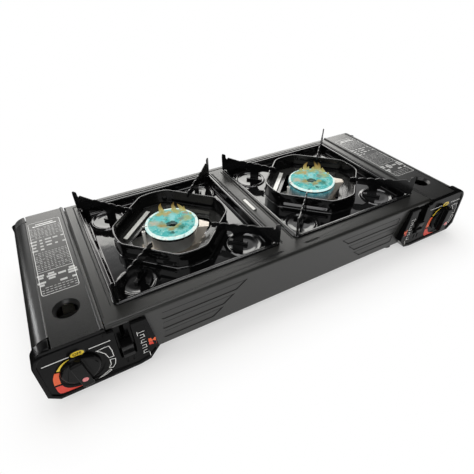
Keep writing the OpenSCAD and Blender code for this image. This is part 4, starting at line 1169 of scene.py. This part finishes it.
# %% Grow the flames
def tongues(finish):
    """A ring of flame tongues: points on a circle, each with its own height, width and lean."""
    group, g, take = new_group("tongues", {
        "Radius": ("Float", 0.025), "Count": ("Int", 14), "Height": ("Float", 0.012),
        "Width": ("Float", 0.0022), "Keep": ("Float", 1.0), "From Y": ("Float", -1.0), "Seed": ("Int", 1),
    })
    ring = g.node("GeometryNodeMeshCircle", None, {"Vertices": take["Count"], "Radius": take["Radius"]})
    cone = g.node("GeometryNodeMeshCone", None, {
        "Vertices": 12, "Side Segments": 9, "Fill Segments": 1,
        "Radius Top": 0.00012, "Radius Bottom": take["Width"], "Depth": take["Height"],
    })
    place = g.node("GeometryNodeInputPosition")
    lifted = g.node("ShaderNodeSeparateXYZ", None, {0: place}, out=2)
    up = lifted / take["Height"]
    belly = (up * 3.1416).sine()
    sway = g.node("ShaderNodeTexNoise", {"noise_dimensions": "3D"}, {"Vector": place, "Scale": 150.0}, out=1)
    shift = g.node("ShaderNodeVectorMath", {"operation": "SUBTRACT"}, {0: sway, 1: (0.5, 0.5, 0.5)})
    shift = g.node("ShaderNodeVectorMath", {"operation": "SCALE"}, {0: shift, "Scale": up * 0.006})
    round_ = g.node("ShaderNodeVectorMath", {"operation": "MULTIPLY"}, {0: place, 1: (0.55, 0.55, 0.0)})
    round_ = g.node("ShaderNodeVectorMath", {"operation": "SCALE"}, {0: round_, "Scale": belly})
    both = g.node("ShaderNodeVectorMath", {"operation": "ADD"}, {0: shift, 1: round_})
    tongue = g.node("GeometryNodeSetPosition", None, {"Geometry": cone, "Offset": both})
    chance = g.random(0.0, 1.0, take["Seed"])
    tall = g.random(0.55, 1.0, take["Seed"] + 3)
    fat = g.random(0.6, 1.1, take["Seed"] + 9)
    lean = g.node("FunctionNodeRandomValue", {"data_type": "FLOAT_VECTOR"},
                  {0: (-0.25, -0.25, 0.0), 1: (0.25, 0.25, 6.28), "Seed": take["Seed"] + 5})
    size = g.node("ShaderNodeCombineXYZ", None, {0: fat, 1: fat, 2: tall})
    _, behind, _ = g.axes(place)
    many = g.node("GeometryNodeInstanceOnPoints", None, {
        "Points": ring, "Selection": (chance < take["Keep"]) * (behind > take["From Y"]),
        "Instance": tongue, "Rotation": lean, "Scale": size,
    })
    close_group(g, many, finish)
    return group


# Closed profiles carried round a burner: distance from its axis and height, in millimetres
VEIL = [(8.0, 87.5), (9.5, 90.4), (14.0, 92.0), (21.0, 92.4), (28.0, 91.8), (32.5, 90.8), (33.6, 90.2),
        (33.0, 89.6), (28.0, 90.6), (21.0, 91.2), (14.0, 90.8), (10.0, 89.2)]
# A glowing ring over the rim's edge: partly the flames' edge, partly a painted rim highlight
RIM_HIGHLIGHT_RING = [(32.6, 90.7), (35.4, 90.6), (36.6, 89.9), (36.9, 88.9), (36.6, 88.0),
        (36.3, 88.1), (36.5, 88.9), (36.2, 89.5), (35.2, 90.0), (32.6, 90.1)]
# A glowing shell hugging the cup's outer wall: painted flame light
CUP_FLAME_LIGHT = [(37.4, 86.0), (36.8, 80.0), (35.8, 72.0), (34.8, 64.0),
         (34.3, 64.0), (35.3, 72.0), (36.3, 80.0), (36.9, 86.0)]
# A dark ring under the burner rim: painted shadow in the gap between rim and cup
RIM_GAP_SHADOW = [(35.5, 87.0), (35.0, 86.0), (34.5, 84.2), (34.3, 82.7),
        (33.9, 82.8), (33.9, 84.4), (34.4, 86.3), (35.0, 87.1)]


def turned(name, profile, mid, finish, ripple):
    """A closed profile carried round the burner, rippled near the middle."""
    turns = [i * 5.0 for i in range(72)]
    rings = []
    for r, z in profile:
        row = []
        for turn in turns:
            a = math.radians(turn)
            calm = max(0.0, 1 - r / 30)
            reach = r * MM * (1 + ripple * calm * (math.sin(5 * a + r / 3) + 0.6 * math.sin(11 * a)))
            row.append((mid.x + reach * math.cos(a), mid.y + reach * math.sin(a), z * MM))
        rings.append(row)
    piece = loft(name, rings, turns, finish)
    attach(piece, "root")
    return piece


LICK_FOOT = 88.4  # height of every lick's foot, in millimetres


def licks(name, mid, rows):
    """Loose licks of flame in one mesh: each a bent, tapering tube with closed ends."""
    work = bmesh.new()
    turns = [math.radians(30 * i) for i in range(12)]
    for dx, dy, height, width, lean_x, lean_y in rows:
        rings = []
        for k in range(15):
            t = k / 14
            sway = math.sin(5.6 * t + dx) * 0.09 * height * t
            x, y = dx + lean_x * t + sway, dy + lean_y * t - sway
            reach = width * ((1 - t) ** 0.8 + 0.25 * math.sin(math.pi * t)) + 0.05
            z = (LICK_FOOT + height * t) * MM
            rings.append([work.verts.new((
                mid.x + (x + reach * math.cos(a)) * MM, mid.y + (y + reach * math.sin(a)) * MM, z,
            )) for a in turns])
        for lower, upper in zip(rings, rings[1:]):
            for i in range(len(turns)):
                j = (i + 1) % len(turns)
                work.faces.new((lower[i], lower[j], upper[j], upper[i])).smooth = True
        work.faces.new(rings[0][::-1])
        work.faces.new(rings[-1])
    piece = put(name, mesh_from(work, name), "flame lick")
    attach(piece, "root")
    return piece


# Across, ahead, height, width, lean across and lean ahead, in millimetres
LICKS = {
    "left": (
        (-5.5, 29.5, 17.0, 3.4, 3.0, 1.5), (-1.5, 30.5, 7.5, 3.0, -1.0, 1.0),
        (14.5, 23.5, 19.0, 3.0, -2.0, 1.5), (11.0, 25.0, 8.0, 3.0, 0.5, 1.0),
        (24.5, 20.5, 14.0, 3.6, -4.5, 2.0), (27.5, 16.5, 11.0, 2.4, -2.5, 2.0),
        (2.0, 21.5, 5.0, 2.8, 0.5, 0.5), (30.5, 6.0, 5.0, 2.6, 0.5, 1.0),
    ),
    "right": (
        (2.0, 30.5, 8.5, 3.4, -1.0, 1.0), (8.5, 30.0, 17.0, 3.4, 3.0, 2.0),
        (13.5, 27.0, 9.0, 2.8, 1.0, 1.0), (24.5, 21.0, 20.0, 3.0, -2.0, 2.0),
        (20.5, 23.0, 9.0, 3.0, 0.5, 1.0), (29.0, 16.0, 19.0, 3.8, -5.0, 3.0),
        (32.0, 9.5, 10.0, 3.2, -1.5, 2.0), (33.0, -1.0, 6.0, 2.6, 0.5, 1.0),
        (-9.0, 27.0, 4.5, 2.6, 0.0, 0.5),
    ),
}
fire_ring = tongues("flame tongue")
# Label, radius, count, height, width, share kept, from how far back, seed and foot, in metres
TONGUES = (
    ("inner", 0.0130, 11, 0.0050, 0.0036, 0.70, -1.0, 4, 0.0890),
    ("low", 0.0290, 26, 0.0050, 0.0040, 0.55, 0.002, 23, 0.0885),
)
for side in ("left", "right"):
    mid = Vector((*middle_of("burner_rim_" + side), 0))
    draught = -math.atan2(mid.x - eye.x, mid.y - eye.y)
    # the right burner's veil reaches further, so its glowing brim, partly flame edge and partly painted rim
    # highlight, is thinner
    wider, thinner = (1.4, 1.5) if side == "right" else (0, 0.0)
    veil = [(r + (wider if r > 32 else 0), z) for r, z in VEIL]
    turned("flame_veil_" + side, veil, mid, "flame veil", 0.10)
    brim = [(r + (thinner if r < 33 else 0), z) for r, z in RIM_HIGHLIGHT_RING]
    turned("rim_highlight_brim_" + side, brim, mid, "flame edge and painted rim highlight", 0.0)
    # painted shadow in the gap under the rim
    turned("rim_gap_shadow_" + side, RIM_GAP_SHADOW, mid, "painted shade ink", 0.0)
    # On the right burner a glowing shell paints the flames' light on the cup's outer wall
    if side == "right":
        turned("cup_flame_light_" + side, CUP_FLAME_LIGHT, mid, "painted flame light", 0.0)
    licks("flame_licks_" + side, mid, LICKS[side])
    for label, radius, count, height, width, keep, from_y, seed, lift in TONGUES:
        fire = grown("flame_%s_%s" % (label, side), fire_ring, {
            "Radius": radius, "Count": count, "Height": height, "Width": width, "Keep": keep,
            "From Y": from_y, "Seed": seed + (5 if side == "left" else 0),
        }, "flame tongue", Matrix.Translation((mid.x, mid.y, lift)) @ Matrix.Rotation(draught, 4, "Z"))
        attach(fire, "root")
print("flame tongues:", len(fire.data.polygons), "faces in the last ring")

# %% [markdown]
# ## Floor and light
#
# The stove stands on a white sweep under large soft lamps. Near the stove the
# floor keeps its soft shadow. Further off it turns into a plain white ground,
# both to the eye and in the stove's own gloss. The lamps stay modest, so the
# black finishes keep their depth. Two sheets of black felt at the left keep the
# white ground out of the gloss there.

# %% Build the floor
floor_mesh = bpy.data.meshes.new("floor")
ground = bmesh.new()
bmesh.ops.create_grid(ground, x_segments=2, y_segments=2, size=4.0)
ground.to_mesh(floor_mesh)
ground.free()
floor = bpy.data.objects.new("floor", floor_mesh)
scene.collection.objects.link(floor)
floor.location.z = -0.0002


def seen_directly(tree):
    """1 along camera rays and in reflections and glass, 0 for the light that falls on things."""
    path = tree.tree.nodes.new("ShaderNodeLightPath")
    sight, gloss, glass = (Wire(tree, path.outputs[label]) for label in
                           ("Is Camera Ray", "Is Glossy Ray", "Is Transmission Ray"))
    return (sight + gloss + glass).clamp()


card = Finish("white sweep")
across, along, _ = card.axes(card.place)
beside = (across.abs() - 0.30).at_least(0.0)
before = (along.abs() - 0.12).at_least(0.0)
away = (beside * beside + before * before).root()
far = card.smooth_range(away, 0.0, 0.09, 0.5, 1.0)
lit = card.node("ShaderNodeBsdfDiffuse", None, {
    "Color": card.mix(card.noise(3.0), rgb(0.93, 0.92, 0.90), rgb(0.95, 0.94, 0.925)), "Roughness": 0.3,
})
glow = card.node("ShaderNodeEmission", None, {"Color": rgb(1, 1, 1), "Strength": 1.0})
card.node("ShaderNodeOutputMaterial", None, {
    "Surface": card.node("ShaderNodeMixShader", None, {0: seen_directly(card) * far, 1: lit, 2: glow}),
})
paint(floor, "white sweep")

felt = Finish("black flag")
nap = felt.mix(felt.noise(40.0), rgb(0.006, 0.006, 0.006), rgb(0.010, 0.010, 0.010))
felt.shade(nap, 0.95, Specular_IOR_Level=0.0)


def flag(name, corners):
    """A sheet of black felt that only reflections see, so a gloss edge beside it turns dark."""
    mesh = bpy.data.meshes.new(name)
    mesh.from_pydata(corners, [], [(0, 1, 2, 3)])
    made = bpy.data.objects.new(name, mesh)
    scene.collection.objects.link(made)
    for ray in ("camera", "diffuse", "shadow", "transmission"):
        setattr(made, "visible_" + ray, False)
    paint(made, "black flag")


flag("flag_low", [(-0.345, -0.30, 0.0006), (-0.345, 1.4, 0.0006), (-1.6, 1.4, 0.0006), (-1.6, -0.30, 0.0006)])
flag("flag_tall", [(-2.2, 0.6, 0.0), (-0.95, 2.1, 0.0), (-0.95, 2.1, 0.85), (-2.2, 0.6, 0.85)])


# %% Light the stove
def lamp(name, place, aim, width, height, watts, colour=(1, 1, 1)):
    light = bpy.data.lights.new(name, "AREA")
    light.shape = "RECTANGLE"
    light.size, light.size_y = width, height
    light.energy = watts
    light.color = colour
    made = bpy.data.objects.new(name, light)
    made.location = place
    made.rotation_euler = (Vector(aim) - Vector(place)).to_track_quat("-Z", "Y").to_euler()
    scene.collection.objects.link(made)
    return made


lamp("back_softbox", (0.40, 1.50, 0.70), (0.0, 0.0, 0.08), 2.1, 0.95, 21, (1.0, 0.985, 0.94))
lamp("left_strip", (-1.33, 1.00, 0.45), (-0.30, -0.05, 0.08), 0.12, 0.50, 3.2)
lamp("high_softbox", (-1.05, -0.48, 1.36), (-0.10, -0.05, 0.08), 0.95, 0.85, 5.5)
lamp("overhead_softbox", (0.1, 0.30, 1.80), (0, 0, 0), 1.3, 0.7, 9)
lamp("front_softbox", (-0.55, -1.35, 1.15), (0, -0.1, 0.05), 1.1, 0.8, 6.5)

world = bpy.data.worlds.new("studio")
scene.world = world
world.use_nodes = True
sky = Tree(world.node_tree)
world.node_tree.nodes.clear()
toward = sky.node("ShaderNodeTexCoord", out=0)
_, behind, above = sky.axes(toward)
back = sky.smooth_range(behind, 0.42, 0.66, 0.0, 1.0)
low = sky.smooth_range(above, 0.57, 0.71, 1.0, 0.0)
backdrop = back * low * 1.2 + 0.04
path = world.node_tree.nodes.new("ShaderNodeLightPath")
eye_ray, soft_ray = (Wire(sky, path.outputs[label]) for label in ("Is Camera Ray", "Is Diffuse Ray"))
level = sky.node("ShaderNodeMix", {"data_type": "FLOAT"}, {0: soft_ray, 2: backdrop, 3: 0.30})
level = sky.node("ShaderNodeMix", {"data_type": "FLOAT"}, {0: eye_ray, 2: level, 3: 1.0})
sky.node("ShaderNodeOutputWorld", None, {
    "Surface": sky.node("ShaderNodeBackground", None, {"Color": rgb(1, 1, 1), "Strength": level}),
})
